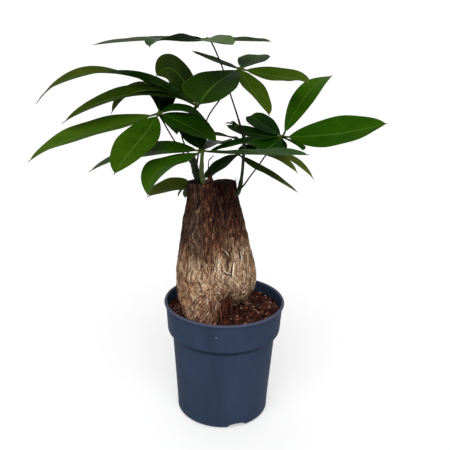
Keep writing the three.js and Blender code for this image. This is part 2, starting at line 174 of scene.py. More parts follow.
# Stump: a row holds the height, the centre's x and y, and the half-breadths along x and y. The soil
# row of each limb is the one next to the soil's surface, counted from 0.
LEFT_LIMB = [
    (84, -18, -30, 7, 7),
    (98, -19, -31, 11, 11),
    (110, -21, -29, 14.5, 14),
    (121, -22.5, -23, 17.5, 19),
    (133, -24, -18, 21, 23.5),
    (147, -24.5, -15, 21.5, 25),
    (165, -24.5, -13, 20.5, 24),
    (184, -24, -12, 19, 21),
    (202, -24, -12, 17, 17.5),
    (220, -24.5, -12, 13.5, 13.5),
    (234, -25, -12, 12, 11.5),
    (243, -25, -12, 11.6, 11),
]
RIGHT_LIMB = [
    (86, 6, 20, 6, 6),
    (100, 7, 19, 9.5, 9),
    (112, 8, 16, 13, 12.5),
    (123, 9, 10, 16.5, 17.5),
    (134, 9, 6, 20.5, 22),
    (146, 8.5, 4, 22.5, 24),
    (160, 7, 4, 21, 23.5),
    (178, 4, 5, 19, 21),
    (196, 1.5, 6, 17, 18.5),
    (213, -0.5, 7, 14.5, 15),
    (226, -1.5, 8, 12, 12),
    (239, -2, 8, 10.8, 10.6),
]
HEART = [
    (122, -8, 2, 11, 17),
    (134, -8, -5, 15, 22),
    (150, -8, -7, 17, 25),
    (172, -9, -6, 16, 24),
    (192, -10, -4, 14, 19),
    (208, -11, -3, 10, 12),
    (222, -12.5, -1, 7, 9),
    (236, -13, 0, 3.5, 7),
]
SOIL_ROW = 2
LIMB_SIDES = 72
RIDGES = 9
RIDGE_DEPTH = 0.03
RIDGE_TWIST = 30
BARK_VOXEL = 0.6
BARK_SMOOTHING = 3
CUTS_ABOVE = 225
CUT_RELIEF = 0.35

# Bark relief: the breadth and length of fibres, fine fibres and knots, the size of lumps, how far
# each stands out, and how far the fibres wander. Below the given height the knots stand out.
FIBRE = (2.9, 20)
FINE_FIBRE = (1.4, 8)
KNOT = (4.6, 6)
LUMP = 17
FIBRE_RELIEF = 0.62
FINE_FIBRE_RELIEF = 0.42
KNOT_RELIEF = 1.3
LUMP_RELIEF = 0.7
WANDER_LENGTH = 26
WANDER = 5
KNOTS_START = 158
KNOTS_FADE = 25

# Loose strands of bark, and roots at the stump's foot and in its cleft: how many, where, how steep
# and how long between points. Each eleventh strand curls off the bark.
STRANDS = 2300
LOW_STRANDS = (114, 178)
HIGH_STRANDS = (165, 238)
SLANTED_BELOW = 160
STEEP_SLANT = 0.22
MATTED_SLANT = 0.75
STRAND_STEP = (1.2, 3.2)
STRAND_RADII = (0.14, 0.42)
CURLED_EVERY = 11
CURL_HEIGHT = (0.2, 1.3)
FLAT_HEIGHT = 0.15
ROOTS = 130
ROOT_HEIGHTS = (114, 142)
ROOT_SLANT = 1.2
ROOT_STEP = (1.5, 3)
ROOT_RADII = (0.3, 0.7)
CLEFT_ROOTS = 46
CLEFT_ACROSS = (-6, 8)
CLEFT_HEIGHTS = (119, 130)
CLEFT_ROOT_RADII = (0.35, 0.85)

# Heights in metres between which the straw-coloured bark turns dark.
DARK_BARK = (0.162, 0.19)

# Heights in metres between which the bark turns matted, downwards.
MATTED_BARK = (0.172, 0.142)

# Scars on the stump's front: x, height, half-width, half-height, depth. Each is dented, and painted
# shade darkens its hollow.
SCARS = [
    (-21, 167.7, 1.3, 1.2, 1.2),
    (-30, 153, 8, 0.8, 0.9),
    (-20, 139.6, 4.2, 1.6, 1.4),
    (3, 168, 2.6, 7, 0.9),
    (-14, 146, 3, 1.2, 0.8),
]
# Splinters of torn bark on the front: points of x and height, and breadth.
SPLINTERS = [
    ([(-1.3, 180), (1, 177), (3.3, 172.5)], 1.2),
    ([(-1.5, 164), (1, 159.5), (4.5, 156), (8.3, 153.3)], 0.9),
    ([(8.8, 166), (7.4, 160), (7.1, 156), (7.8, 152)], 1.5),
    ([(-12, 204), (-11, 199), (-9.5, 196)], 0.6),
    ([(-5, 228), (-4.4, 224), (-3.6, 220)], 0.6),
    ([(14, 176), (15.5, 170), (16, 163)], 0.6),
    ([(-9, 141), (-5.5, 139), (-3.5, 134), (-3, 129)], 1),
]

# Shoots: the path, the radii along it, and where along it the shoot swells, from 0 to 1.
SHOOT_SIDES = 20
FOOT_SWELLING = 0.1
NODE_SWELLING = 0.16
NODE_LENGTH = 0.03
SHOOTS = {
    "shoot_left": (
        [(-25, -9, 231), (-26.5, -9, 243), (-30, -8.5, 256), (-32.5, -8, 266)],
        (3.3, 3.5, 3.4, 2.8),
        (0.55, 0.85),
    ),
    "shoot_front": (
        [(-21.5, -17, 229), (-21.5, -18.5, 242), (-22.8, -25, 256), (-22.5, -31, 265)],
        (2.4, 2.3, 2.1, 1.9),
        (0.55, 0.85),
    ),
    "shoot_right": (
        [(4, 7, 222), (11, 5, 229.5), (14, 4, 245), (15, 2.5, 265), (15, 2, 281), (12, 3, 293)],
        (2.3, 2.4, 1.5, 1.4, 1.9, 1.3),
        (0.33, 0.62, 0.94),
    ),
}


def blade(tip, bow, width, tone, roll=0, twist=0, hook=0, curl=0, tail=0):
    """One leaflet. Its tip is measured from the leaf's hub, and bow is how far its middle stands off
    the straight line. The tone goes from -1, dark green, to 1, yellow green. Angles are in degrees.
    The hook lifts the blade before it drops to its tip."""
    return dict(tip=tip, bow=bow, width=width, tone=tone,
                roll=roll, twist=twist, hook=hook, curl=curl, tail=tail)


# Leaves: the hub where the leaflets meet, the route of the stalk to it, and the leaflets. Olive says
# how olive a leaf is, from 0, plain green, to 1.
LEAVES = {
    "leaf_top": {
        "hub": (-20, 5, 368.6),
        "route": [(12, 3, 290.5), (8, 5, 303), (1.5, 8, 321), (-6.5, 8, 345), (-16, 6, 365.5)],
        "leaflets": [
            blade((-45, -53, -6), (-6, 0, -6), 33, -0.5, roll=7, twist=-2, hook=9),
            blade((-104, 10, -7), (0, 0, 2), 27, 0.3),
            blade((23, -67, -2), (-6, 0, 2), 30, 0.25, roll=15, twist=-14, hook=-2),
            blade((58, 20, -1), (0, 0, 0), 26, 0.5, roll=-2),
            blade((-22, 74, -4), (0, 0, 0), 24, 0.3),
        ],
    },
    "leaf_upper_right": {
        "hub": (10, 5, 344),
        "olive": 0.5,
        "route": [(-28.8, -8.3, 254), (-26.2, -2.5, 270), (-19.4, 7, 298), (-8.1, 6, 316)],
        "leaflets": [
            blade((-46, 44, 13), (-1, 0, -1.5), 17, -0.6, roll=4, twist=-2),
            blade((19, 68, 9.5), (3.5, 0, 0), 30, -0.4),
            blade((60, -15, -11), (10, 2, -6), 29, 0.05, roll=35, twist=-32, hook=5),
            blade((25, -48, -35), (-3, 0, 2), 32, 0.05, roll=-4, twist=-26),
            blade((-32, -88, -22), (-8, -5, 1), 44, -0.5, roll=-3, twist=-9, hook=-3),
        ],
    },
    "leaf_right": {
        "hub": (50, -5, 285),
        "route": [
            (11.4, 4.6, 231.5), (16.4, -2, 238.6), (21.8, -11, 249.5),
            (28.8, -18, 261.4), (36, -17, 272),
        ],
        "leaflets": [
            blade((53, 70, 50), (-3, -8, 8), 23.5, 0.1, roll=35, twist=-50, hook=3),
            blade((86, -32, 19), (5, -4, -3), 37, -0.05, roll=55, twist=-36, hook=1),
            blade((13, -52, -2), (0, 0, 0), 17, -0.5, roll=-22, hook=1),
            blade((-29, 65, 12), (-3, 5, 0), 22, -0.45, roll=-20, tail=5),
            blade((-52, 45, 3), (0, 0, -3), 17, -0.6, roll=-20),
            blade((-67, -22, -11), (1, 0, 2), 21, -0.6),
            blade((-22, -42, -5), (-2, 0, -1), 32, -0.35, roll=-10, twist=-5, hook=-3),
        ],
    },
    "leaf_front": {
        "hub": (-21.5, -38, 277),
        "route": [(-22.6, -28.8, 261.5), (-22.3, -33.5, 269)],
        "stem": 1.7,
        "leaflets": [
            blade((-102, 9, -23), (0, 0, 5), 35, 0.0, roll=-18, twist=13, hook=3),
            blade((-43, -40, -32), (-8.5, -6, -8), 37, 0.05, roll=-2, twist=11, hook=16),
            blade((86, -47, 8), (0, 0, -2), 32, -0.25, roll=-14, twist=18, hook=1),
            blade((-10, 24, 12), (-4, 0, 2), 28, -0.7, roll=8, hook=2),
            blade((24, 56, -2), (-2, 0, 3), 24, -0.6, twist=-10),
        ],
    },
    "leaf_left": {
        "hub": (-61, -20, 306),
        "olive": 0.15,
        "route": [(-29, -9, 252), (-35, -9, 262), (-48, -11, 280), (-57, -16, 297)],
        "leaflets": [
            blade((-109, -30, -39.5), (-4, 0, -3), 40, 0.3, roll=-19, twist=16, hook=7),
            blade((-28, -72, -39), (0, 2, -6), 33, 0.05, roll=-20, twist=15, hook=6),
            blade((52, -27, -19), (1, -3, 3), 34, -0.35, roll=20, twist=-17, hook=-2),
            blade((47, 22, -18), (1, -3, 9), 30, -0.4, roll=4, twist=12, hook=1),
            blade((14, 20, -22), (0, 0, 3), 22, -0.5, hook=1),
            blade((-5, 75, 17), (0, -3, 2.5), 30, -0.9, roll=54, twist=-95),
        ],
    },
    "leaf_upper_left": {
        "hub": (-29, 12, 309),
        "olive": 0.75,
        "route": [(-31, -7, 260), (-37, -4, 270), (-43, 2, 286), (-38, 9, 300)],
        "leaflets": [
            blade((-154, 14, 1), (1, -18, 23.2), 24, -0.15,
                  roll=88, twist=-182, hook=6, curl=98, tail=4),
            blade((-115, -44, -12), (9, 0, 12.3), 31, -0.4, roll=-16, twist=7, hook=7),
            blade((-76.5, -20, -6.5), (-7, 0, 10.5), 26, 0.1, roll=-6, twist=-12, hook=9),
            blade((-46, 69, 20), (3, 2, 1), 33, -0.45, roll=-45, twist=-80, hook=16),
            blade((26, 53, 8), (0, 0, 3), 30, -0.3, hook=1),
        ],
    },
    "leaf_low_right": {
        "hub": (10, 22, 263),
        "olive": 0.6,
        "route": [(-18.5, -11, 235), (-17.5, -9, 244), (-8, 4, 251), (3, 15, 258)],
        "foot": 2.4,
        "leaflets": [
            blade((54, -43, -8), (0, 0, 6), 15, 0.7, roll=8, twist=-4, hook=3),
            blade((71, -29, -17), (3, 0, 8), 20, 0.7, roll=-2, twist=3, hook=3),
            blade((52, -66, -19.5), (0, 0, -3.2), 18, 0.2, roll=8, twist=-36, hook=2),
            blade((-32, -23, -20), (1, 0, 4), 26, -0.8, roll=2, twist=8, hook=-4),
            blade((32, 50, -5), (0, 0, 2), 24, 0.0, hook=1),
        ],
    },
    "leaf_low_left": {
        "hub": (-34, 8, 236.5),
        "olive": 0.7,
        "route": [(-29, -4, 231), (-31.5, 2, 234)],
        "leaflets": [
            blade((-37, -33, -5), (2, 10, 0), 26, 0.65, roll=-28, twist=31),
            blade((-13, 2, -14), (0, 0, 2), 14, 0.4, hook=1),
            blade((-6, 4, -16), (0, 0, 1), 12, 0.4),
        ],
    },
    "leaf_young": {
        "hub": (7.5, -1, 294),
        "route": [(12.6, 2.4, 287.5), (9.5, -0.5, 291)],
        "leaflets": [
            blade((-10, -2, 2), (0, 0, 1), 4, -0.8),
            blade((-6, -7, 3), (0, 0, 1), 4, -0.7),
            blade((-5, 3, 3), (0, 0, 1), 4, -0.8),
        ],
    },
    "leaf_back": {
        "hub": (12, 40, 273),
        "route": [(14.5, 3, 275), (15, 11, 273), (14, 25, 275)],
        "leaflets": [
            blade((-30, 50, -3), (0, 0, 3), 18, -0.8, roll=9, twist=16, hook=-2),
            blade((-26, 20, -6), (0, 0, 0), 18, -0.7, roll=8, twist=4, hook=-2),
            blade((15, 75, -20), (0, 0, 2), 28, -0.4, hook=1),
            blade((49, 40, -14), (0, 0, 2), 26, -0.3, hook=1),
        ],
    },
}

# Leaves that lie flat to the light and shine.
GLOSSY_LEAVES = ("leaf_top", "leaf_front")

# Small stubs on the cut stems: path, radii and shade, from 0, dark, to 1, pale.
STUBS = [
    (
        [(-15.6, -7, 233), (-15.8, -8, 238), (-15.7, -8, 243.8), (-15.5, -8, 248)],
        (3.4, 3.6, 3.2, 1.4),
        0.25,
    ),
    (
        [(-18.6, -12, 235), (-18.3, -12, 239), (-17.9, -12, 243.8), (-17, -11.5, 247)],
        (1.6, 2.0, 1.6, 0.5),
        0.9,
    ),
    ([(8.8, 4, 231), (8.6, 4, 236), (8.4, 4, 243.5)], (1.2, 0.9, 0.25), 0.1),
    (
        [(-17, -9, 244), (-17.2, -9, 256), (-16.8, -9, 262.5), (-12.5, -9, 267)],
        (0.9, 0.55, 0.5, 0.4),
        0.0,
    ),
    ([(-33, -15, 236), (-32.6, -15.5, 241), (-31.6, -15, 245)], (2.4, 2.2, 0.8), 0.05),
    ([(-28.5, -18, 236), (-28.1, -18, 241), (-27.6, -17, 244.5)], (2.2, 1.8, 0.6), 0.0),
]


# Meshes

def loft(rings):
    """Vertices and faces of a closed body through rings of the same length."""
    count = len(rings[0])
    vertices = np.concatenate([np.asarray(ring, float) for ring in rings])
    faces = []
    for k in range(len(rings) - 1):
        low = k * count
        high = low + count
        for i in range(count):
            j = (i + 1) % count
            faces.append((low + i, low + j, high + j, high + i))
    faces.append(tuple(range(count - 1, -1, -1)))
    faces.append(tuple(range((len(rings) - 1) * count, len(rings) * count)))
    return vertices, faces


class Heap:
    """Collects parts into one mesh, with a value of each attribute for every vertex."""

    def __init__(self, *attributes):
        self.vertices = []
        self.faces = []
        self.count = 0
        self.values = {name: [] for name in attributes}

    def add(self, vertices, faces, **values):
        vertices = np.asarray(vertices, float)
        start = self.count
        self.vertices.append(vertices)
        self.faces.extend(tuple(start + i for i in face) for face in faces)
        self.count += len(vertices)
        for name, collected in self.values.items():
            collected.append(np.broadcast_to(np.asarray(values.get(name, 0.0), float), len(vertices)))

    def build(self, name, material, slot, replaced=None):
        piece = add_piece(name, np.concatenate(self.vertices), self.faces, material, slot, replaced)
        for attribute, collected in self.values.items():
            data = piece.data.attributes.new(attribute, "FLOAT", "POINT").data
            data.foreach_set("value", np.concatenate(collected))
        return piece


def add_object(name, data):
    made = bpy.data.objects.new(name, data)
    bpy.context.scene.collection.objects.link(made)
    return made


def mesh_object(name, vertices, faces):
    """A closed mesh with its faces pointing out, from points in millimetres."""
    mesh = bpy.data.meshes.new(name)
    mesh.from_pydata((np.asarray(vertices) * MM).tolist(), [], faces)
    shape = bmesh.new()
    shape.from_mesh(mesh)
    bmesh.ops.recalc_face_normals(shape, faces=shape.faces)
    shape.to_mesh(mesh)
    shape.free()
    return add_object(name, mesh)


def add_piece(name, vertices, faces, material, slot, replaced=None):
    piece = mesh_object(name, vertices, faces)
    piece.data.shade_smooth()
    piece.data.materials.append(material)
    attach(piece, "root")
    if replaced:
        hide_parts(replaced)
    return piece


def turn_angles(sides):
    return np.linspace(0, 2 * math.pi, sides, endpoint=False)


def spread_along(values, count):
    """The values spread evenly over count places."""
    return np.interp(np.linspace(0, 1, count), np.linspace(0, 1, len(values)), values)


def curve_points(points, steps):
    """Points of a smooth curve through the given ones, with steps between each pair."""
    points = np.asarray(points, float)
    padded = np.vstack([2 * points[0] - points[1], points, 2 * points[-1] - points[-2]])
    result = []
    for k in range(len(points) - 1):
        before, start, end, after = padded[k:k + 4]
        for t in np.linspace(0, 1, steps, endpoint=False):
            result.append(0.5 * (2 * start + (end - before) * t
                          + (2 * before - 5 * start + 4 * end - after) * t ** 2
                          + (3 * start - before - 3 * end + after) * t ** 3))
    result.append(points[-1])
    return np.array(result)


def tube(path, radii, sides, flatten=1.0):
    """A tube along a path. The radii are spread evenly along it."""
    path = np.asarray(path, float)
    radii = spread_along(radii, len(path))
    along = np.gradient(path, axis=0)
    along /= np.linalg.norm(along, axis=1, keepdims=True)
    across = np.cross(along[0], (0.31, 0.95, 0.12))
    rings = []
    angles = turn_angles(sides)
    for centre, direction, radius in zip(path, along, radii):
        across = across - direction * across.dot(direction)
        across /= np.linalg.norm(across)
        beside = np.cross(direction, across)
        ring = np.outer(np.cos(angles), across) + flatten * np.outer(np.sin(angles), beside)
        rings.append(centre + radius * ring)
    return loft(rings)


def lathe_rings(profile, sides):
    angles = turn_angles(sides)
    return [np.column_stack([radius * np.cos(angles), radius * np.sin(angles), np.full(sides, height)])
            for radius, height in profile]


def arc(centre_radius, centre_height, radius, start, end, steps):
    """Profile points round an arc, its angles in degrees."""
    turns = [math.radians(a) for a in np.linspace(start, end, steps)]
    return [(centre_radius + radius * math.cos(a), centre_height + radius * math.sin(a)) for a in turns]


def between(start, end, shares):
    """Profile points on the straight line between two others."""
    return [(start[0] + (end[0] - start[0]) * t, start[1] + (end[1] - start[1]) * t) for t in shares]


# Material nodes

def rgb(red, green, blue):
    """A screen colour of 0 to 255 as the linear colour that a shader takes."""
    def linear(value):
        value /= 255
        return value / 12.92 if value <= 0.04045 else ((value + 0.055) / 1.055) ** 2.4
    return (linear(red), linear(green), linear(blue), 1)


class Graph:
    """Short calls for the nodes of one material."""

    def __init__(self, name):
        self.material = bpy.data.materials.new(name)
        self.material.use_nodes = True
        self.tree = self.material.node_tree
        self.tree.nodes.clear()

    def node(self, kind, inputs, **settings):
        node = self.tree.nodes.new(kind)
        for key, value in settings.items():
            setattr(node, key, value)
        for key, value in inputs.items():
            if isinstance(value, bpy.types.NodeSocket):
                self.tree.links.new(value, node.inputs[key])
            else:
                node.inputs[key].default_value = value
        return node

    def math(self, operation, first, second=0.0, clamp=False):
        inputs = {0: first, 1: second}
        return self.node("ShaderNodeMath", inputs, operation=operation, use_clamp=clamp).outputs[0]

    def times(self, first, second):
        return self.math("MULTIPLY", first, second)

    def plus(self, first, second):
        return self.math("ADD", first, second)

    def spread(self, value, low, high, to_low=0.0, to_high=1.0):
        inputs = {0: value, 1: low, 2: high, 3: to_low, 4: to_high}
        return self.node("ShaderNodeMapRange", inputs, interpolation_type="SMOOTHSTEP").outputs[0]

    def mix(self, factor, first, second, blend="MIX"):
        inputs = {0: factor, 6: first, 7: second}
        return self.node("ShaderNodeMix", inputs, data_type="RGBA", blend_type=blend).outputs[2]

    def tinted(self, factor, colour, tint):
        """The colour multiplied by a tint, as far as the factor says."""
        return self.mix(factor, colour, self.mix(1.0, colour, (*tint, 1), "MULTIPLY"))

    def ramp(self, factor, stops):
        """A colour ramp. The stops are pairs of a place and a screen colour."""
        stops = list(stops)
        node = self.node("ShaderNodeValToRGB", {0: factor})
        elements = node.color_ramp.elements
        while len(elements) < len(stops):
            elements.new(0.5)
        for element, (place, colour) in zip(elements, stops):
            element.position = place
            element.color = rgb(*colour)
        return node.outputs[0]

    def place(self):
        return self.node("ShaderNodeTexCoord", {}).outputs["Object"]

    def axes(self, vector):
        return self.node("ShaderNodeSeparateXYZ", {0: vector}).outputs

    def attribute(self, name):
        return self.node("ShaderNodeAttribute", {}, attribute_name=name).outputs["Fac"]

    def vector_math(self, operation, first, second):
        return self.node("ShaderNodeVectorMath", {0: first, 1: second}, operation=operation).outputs[0]

    def scaled(self, vector, scale):
        return self.vector_math("MULTIPLY", vector, scale)

    def turned(self, vector, angles):
        inputs = {"Vector": vector, "Rotation": tuple(math.radians(a) for a in angles)}
        return self.node("ShaderNodeMapping", inputs).outputs[0]

    def warped(self, vector, scale, amount):
        """The vector moved about by smooth noise."""
        inputs = {"Vector": vector, "Scale": scale, "Detail": 1.0}
        moved = self.node("ShaderNodeTexNoise", inputs).outputs["Color"]
        moved = self.vector_math("SUBTRACT", moved, (0.5, 0.5, 0.5))
        moved = self.scaled(moved, (amount, amount, amount))
        return self.vector_math("ADD", vector, moved)

    def noise(self, vector, scale=1.0, detail=3.0, roughness=0.55):
        inputs = {"Vector": vector, "Scale": scale, "Detail": detail, "Roughness": roughness}
        return self.node("ShaderNodeTexNoise", inputs).outputs[0]

    def cells(self, vector, scale):
        return self.node("ShaderNodeTexVoronoi", {"Vector": vector, "Scale": scale}).outputs

    def bump(self, height, distance, strength):
        inputs = {"Height": height, "Distance": distance * MM, "Strength": strength}
        return self.node("ShaderNodeBump", inputs).outputs[0]

    def finish(self, colour, roughness, normal=None, specular=0.5, **sockets):
        inputs = {"Base Color": colour, "Roughness": roughness, "Specular IOR Level": specular}
        if normal:
            inputs["Normal"] = normal
        inputs.update({key.replace("_", " "): value for key, value in sockets.items()})
        shader = self.node("ShaderNodeBsdfPrincipled", inputs)
        self.node("ShaderNodeOutputMaterial", {0: shader.outputs[0]})
        return self.material


def plastic_material():
    """Slate blue moulded plastic with a fine matt grain, faint flow marks and scuffs."""
    g = Graph("pot_plastic")
    place = g.place()
    grain = g.noise(place, 1800, 2)
    cloud = g.noise(g.scaled(place, (1, 1, 0.35)), 28, 3)
    scuffs = g.noise(g.scaled(g.turned(place, (0, 25, 40)), (1, 1, 9)), 160, 4, 0.7)
    colour = g.mix(g.spread(cloud, 0.35, 0.68), rgb(40, 52, 71), rgb(46, 58, 79))
    colour = g.mix(g.spread(scuffs, 0.66, 0.8, 0, 0.2), colour, rgb(84, 92, 112))
    height = g.axes(place)["Z"]
    # Painted shade: a band of height darkens the crease under the collar.
    collar_shade = g.times(g.spread(height, *COLLAR_SHADE_FOOT), g.spread(height, *COLLAR_SHADE_TOP))
    colour = g.mix(g.times(collar_shade, 0.7), colour, rgb(16, 22, 34))
    # Painted highlight: the top of the lip is turned pale.
    colour = g.mix(g.spread(height, *LIP_HIGHLIGHT, 0, 0.5), colour, rgb(96, 94, 116))
    roughness = g.spread(g.noise(place, 90, 4), 0.3, 0.7, 0.5, 0.62)
    return g.finish(colour, roughness, g.bump(grain, 0.06, 0.5), specular=0.03)


def gate_mark_material():
    g = Graph("gate_mark")
    return g.finish(rgb(88, 98, 118), 0.5, specular=0.1)


def soil_material():
    """Damp peat: dark reddish brown, with lighter fibres."""
    g = Graph("soil")
    place = g.place()
    lumps = g.noise(place, 260, 6, 0.65)
    chips = g.noise(g.scaled(g.turned(place, (15, 0, 35)), (1, 3, 1)), 420, 3)
    colour = g.ramp(lumps, [(0.3, (20, 8, 6)), (0.5, (56, 28, 20)), (0.72, (98, 56, 42))])
    colour = g.mix(g.spread(chips, 0.62, 0.75, 0, 0.6), colour, rgb(128, 80, 58))
    return g.finish(colour, 0.92, g.bump(lumps, 1.1, 0.9), specular=0.1)


def crumb_material():
    """Crumbs and bark chips, each with a shade of its own."""
    g = Graph("soil_crumbs")
    place = g.place()
    shade = g.attribute("shade")
    browns = [(0, (16, 7, 5)), (0.45, (58, 28, 20)), (0.8, (118, 64, 46)), (1, (176, 128, 98))]
    colour = g.ramp(shade, browns)
    speckle = g.noise(place, 900, 3)
    colour = g.mix(g.spread(speckle, 0.4, 0.75, 0, 0.5), colour, rgb(24, 14, 13))
    return g.finish(colour, 0.9, g.bump(speckle, 0.3, 0.7), specular=0.1)


def perlite_material():
    g = Graph("perlite")
    pores = g.cells(g.place(), 1900)["Distance"]
    colour = g.mix(g.spread(pores, 0.1, 0.6), rgb(150, 136, 134), rgb(214, 206, 204))
    return g.finish(colour, 0.85, g.bump(pores, 0.2, 0.8))


def bark_material():
    """Fibrous bark: dark, red and grey above, frayed straw colour below, almost black on the cuts.
    Lengths and heights are in metres."""
    g = Graph("bark")
    place = g.place()
    wandering = g.warped(place, 45, 0.01)
    fibres = g.noise(g.scaled(wandering, (520, 520, 70)), 1, 5, 0.68)
    threads = g.noise(g.scaled(wandering, (1250, 1250, 190)), 1, 3, 0.7)
    slanted = g.noise(g.scaled(g.turned(wandering, (30, 33, 0)), (560, 560, 85)), 1, 4, 0.7)
    crossed = g.noise(g.scaled(g.turned(wandering, (-30, -36, 0)), (560, 560, 85)), 1, 4, 0.7)
    specks = g.noise(place, 620, 3, 0.7)
    matted = g.math("MAXIMUM", slanted, crossed)
    across, _, height = g.axes(place)
    ragged = g.plus(height, g.spread(g.noise(place, 60, 4), 0.2, 0.8, -0.013, 0.013))
    ragged = g.plus(ragged, g.spread(fibres, 0.25, 0.75, -0.006, 0.006))
    upper = g.spread(ragged, *DARK_BARK)
    lower = g.spread(ragged, *MATTED_BARK)

    tangle = g.plus(g.times(matted, 0.8), g.times(threads, 0.16))
    weave = g.mix(g.times(lower, 0.85), fibres, tangle)
    weave = g.mix(0.22, weave, specks)
    upper_stops = (0.38, 0.47, 0.55, 0.66)
    reds = zip(upper_stops, ((16, 6, 4), (54, 29, 20), (94, 58, 42), (160, 120, 92)))
    greys = zip(upper_stops, ((22, 15, 12), (60, 47, 38), (98, 82, 68), (158, 142, 124)))
    straws = [
        (0.4, (40, 20, 11)), (0.46, (108, 75, 52)), (0.53, (176, 144, 112)), (0.61, (242, 222, 194)),
    ]
    rusts = [
        (0.4, (34, 14, 8)), (0.46, (96, 57, 37)), (0.54, (160, 116, 84)), (0.63, (216, 178, 140)),
    ]
    left = g.spread(across, -0.014, -0.03)
    greyness = g.times(g.spread(g.noise(place, 48, 3), 0.35, 0.6), left)
    dark = g.mix(g.times(greyness, 0.85), g.ramp(weave, reds), g.ramp(weave, greys))
    middle = g.spread(g.math("ABSOLUTE", g.plus(across, 0.009)), 0.016, 0.004)
    blotches = g.spread(g.noise(place, 55, 4), 0.5, 0.68, 0, 0.7)
    rust = g.math("ADD", blotches, g.times(middle, 0.5), clamp=True)
    pale = g.mix(rust, g.ramp(weave, straws), g.ramp(weave, rusts))
    colour = g.mix(upper, pale, dark)

    shade = g.times(g.spread(across, -0.016, -0.008), g.spread(height, 0.186, 0.222))
    colour = g.tinted(g.times(shade, 0.85), colour, (0.15, 0.07, 0.06))
    top = g.spread(height, 0.19, 0.236, 0, 0.7)
    colour = g.tinted(top, colour, (0.5, 0.38, 0.32))
    # Painted shade: the bark darkens towards its left and right edges, where it turns away from the
    # light.
    edge_shade = g.math("MAXIMUM", g.spread(across, -0.025, -0.037), g.spread(across, 0.02, 0.032, 0, 0.7))
    colour = g.tinted(g.times(edge_shade, 0.8), colour, (0.48, 0.34, 0.28))
    foot = g.spread(height, 0.132, 0.116, 0, 0.45)
    low = g.spread(height, 0.146, 0.126)
    cleft = g.times(low, g.spread(g.math("ABSOLUTE", g.plus(across, 0.006)), 0.02, 0.006))
    foot = g.math("MAXIMUM", foot, g.times(cleft, 0.75))
    colour = g.tinted(foot, colour, (0.5, 0.32, 0.25))
    # Painted shade: the bark darkens in the hollows of the scars.
    colour = g.mix(g.times(g.attribute("scar"), 0.85), colour, rgb(34, 20, 14))
    facing = g.axes(g.node("ShaderNodeNewGeometry", {}).outputs["True Normal"])
    cut = g.times(g.spread(facing["Z"], 0.6, 0.85), g.spread(height, 0.228, 0.234))
    heartwood = g.ramp(threads, [(0.3, (12, 7, 6)), (0.8, (44, 28, 24))])
    colour = g.mix(g.times(cut, 0.9), colour, heartwood)
    relief = g.plus(weave, g.times(threads, 0.3))
    return g.finish(colour, 0.9, g.bump(relief, 1.1, 0.9), specular=0.1)


def strand_material():
    """Loose bark fibres and roots, each with a shade of its own, paler towards the soil."""
    g = Graph("bark_strands")
    shade = g.attribute("shade")
    across, _, height = g.axes(g.place())
    pale = g.ramp(shade, [(0, (52, 29, 18)), (0.45, (140, 104, 76)), (1, (244, 226, 198))])
    dark = g.ramp(shade, [(0, (26, 12, 9)), (0.6, (72, 48, 36)), (1, (122, 96, 76))])
    dark = g.tinted(g.spread(height, 0.195, 0.232, 0, 0.75), dark, (0.4, 0.3, 0.26))
    colour = g.mix(g.spread(height, *DARK_BARK), pale, dark)
    colour = g.mix(g.attribute("red"), colour, g.ramp(shade, [(0, (46, 18, 13)), (1, (140, 86, 62))]))
    # Painted shade: the strands darken towards the stump's left edge.
    colour = g.tinted(g.spread(across, -0.033, -0.043, 0, 0.8), colour, (0.5, 0.42, 0.36))
    return g.finish(colour, 0.88, g.bump(g.noise(g.place(), 1500, 2), 0.1, 0.5), specular=0.12)


def rootlet_material():
    g = Graph("rootlets")
    colour = g.mix(g.noise(g.place(), 500, 2), rgb(120, 84, 70), rgb(178, 142, 122))
    return g.finish(colour, 0.8, g.bump(g.noise(g.place(), 1400, 2), 0.1, 0.5), specular=0.25)


def shoot_material(name, base, light, brown):
    """Young green wood with lengthwise streaks, lighter pores and brown at its foot."""
    g = Graph(name)
    place = g.place()
    streaks = g.noise(g.scaled(place, (900, 900, 120)), 1, 4)
    pores = g.cells(g.scaled(place, (1, 1, 0.5)), 620)["Distance"]
    colour = g.mix(g.spread(streaks, 0.35, 0.7), base, light)
    colour = g.mix(g.spread(pores, 0.22, 0.08, 0, 0.5), colour, brown)
    colour = g.mix(g.spread(g.attribute("foot"), 0.4, 1.0, 0, 0.85), colour, brown)
    return g.finish(colour, 0.55, g.bump(streaks, 0.25, 0.6), specular=0.15)


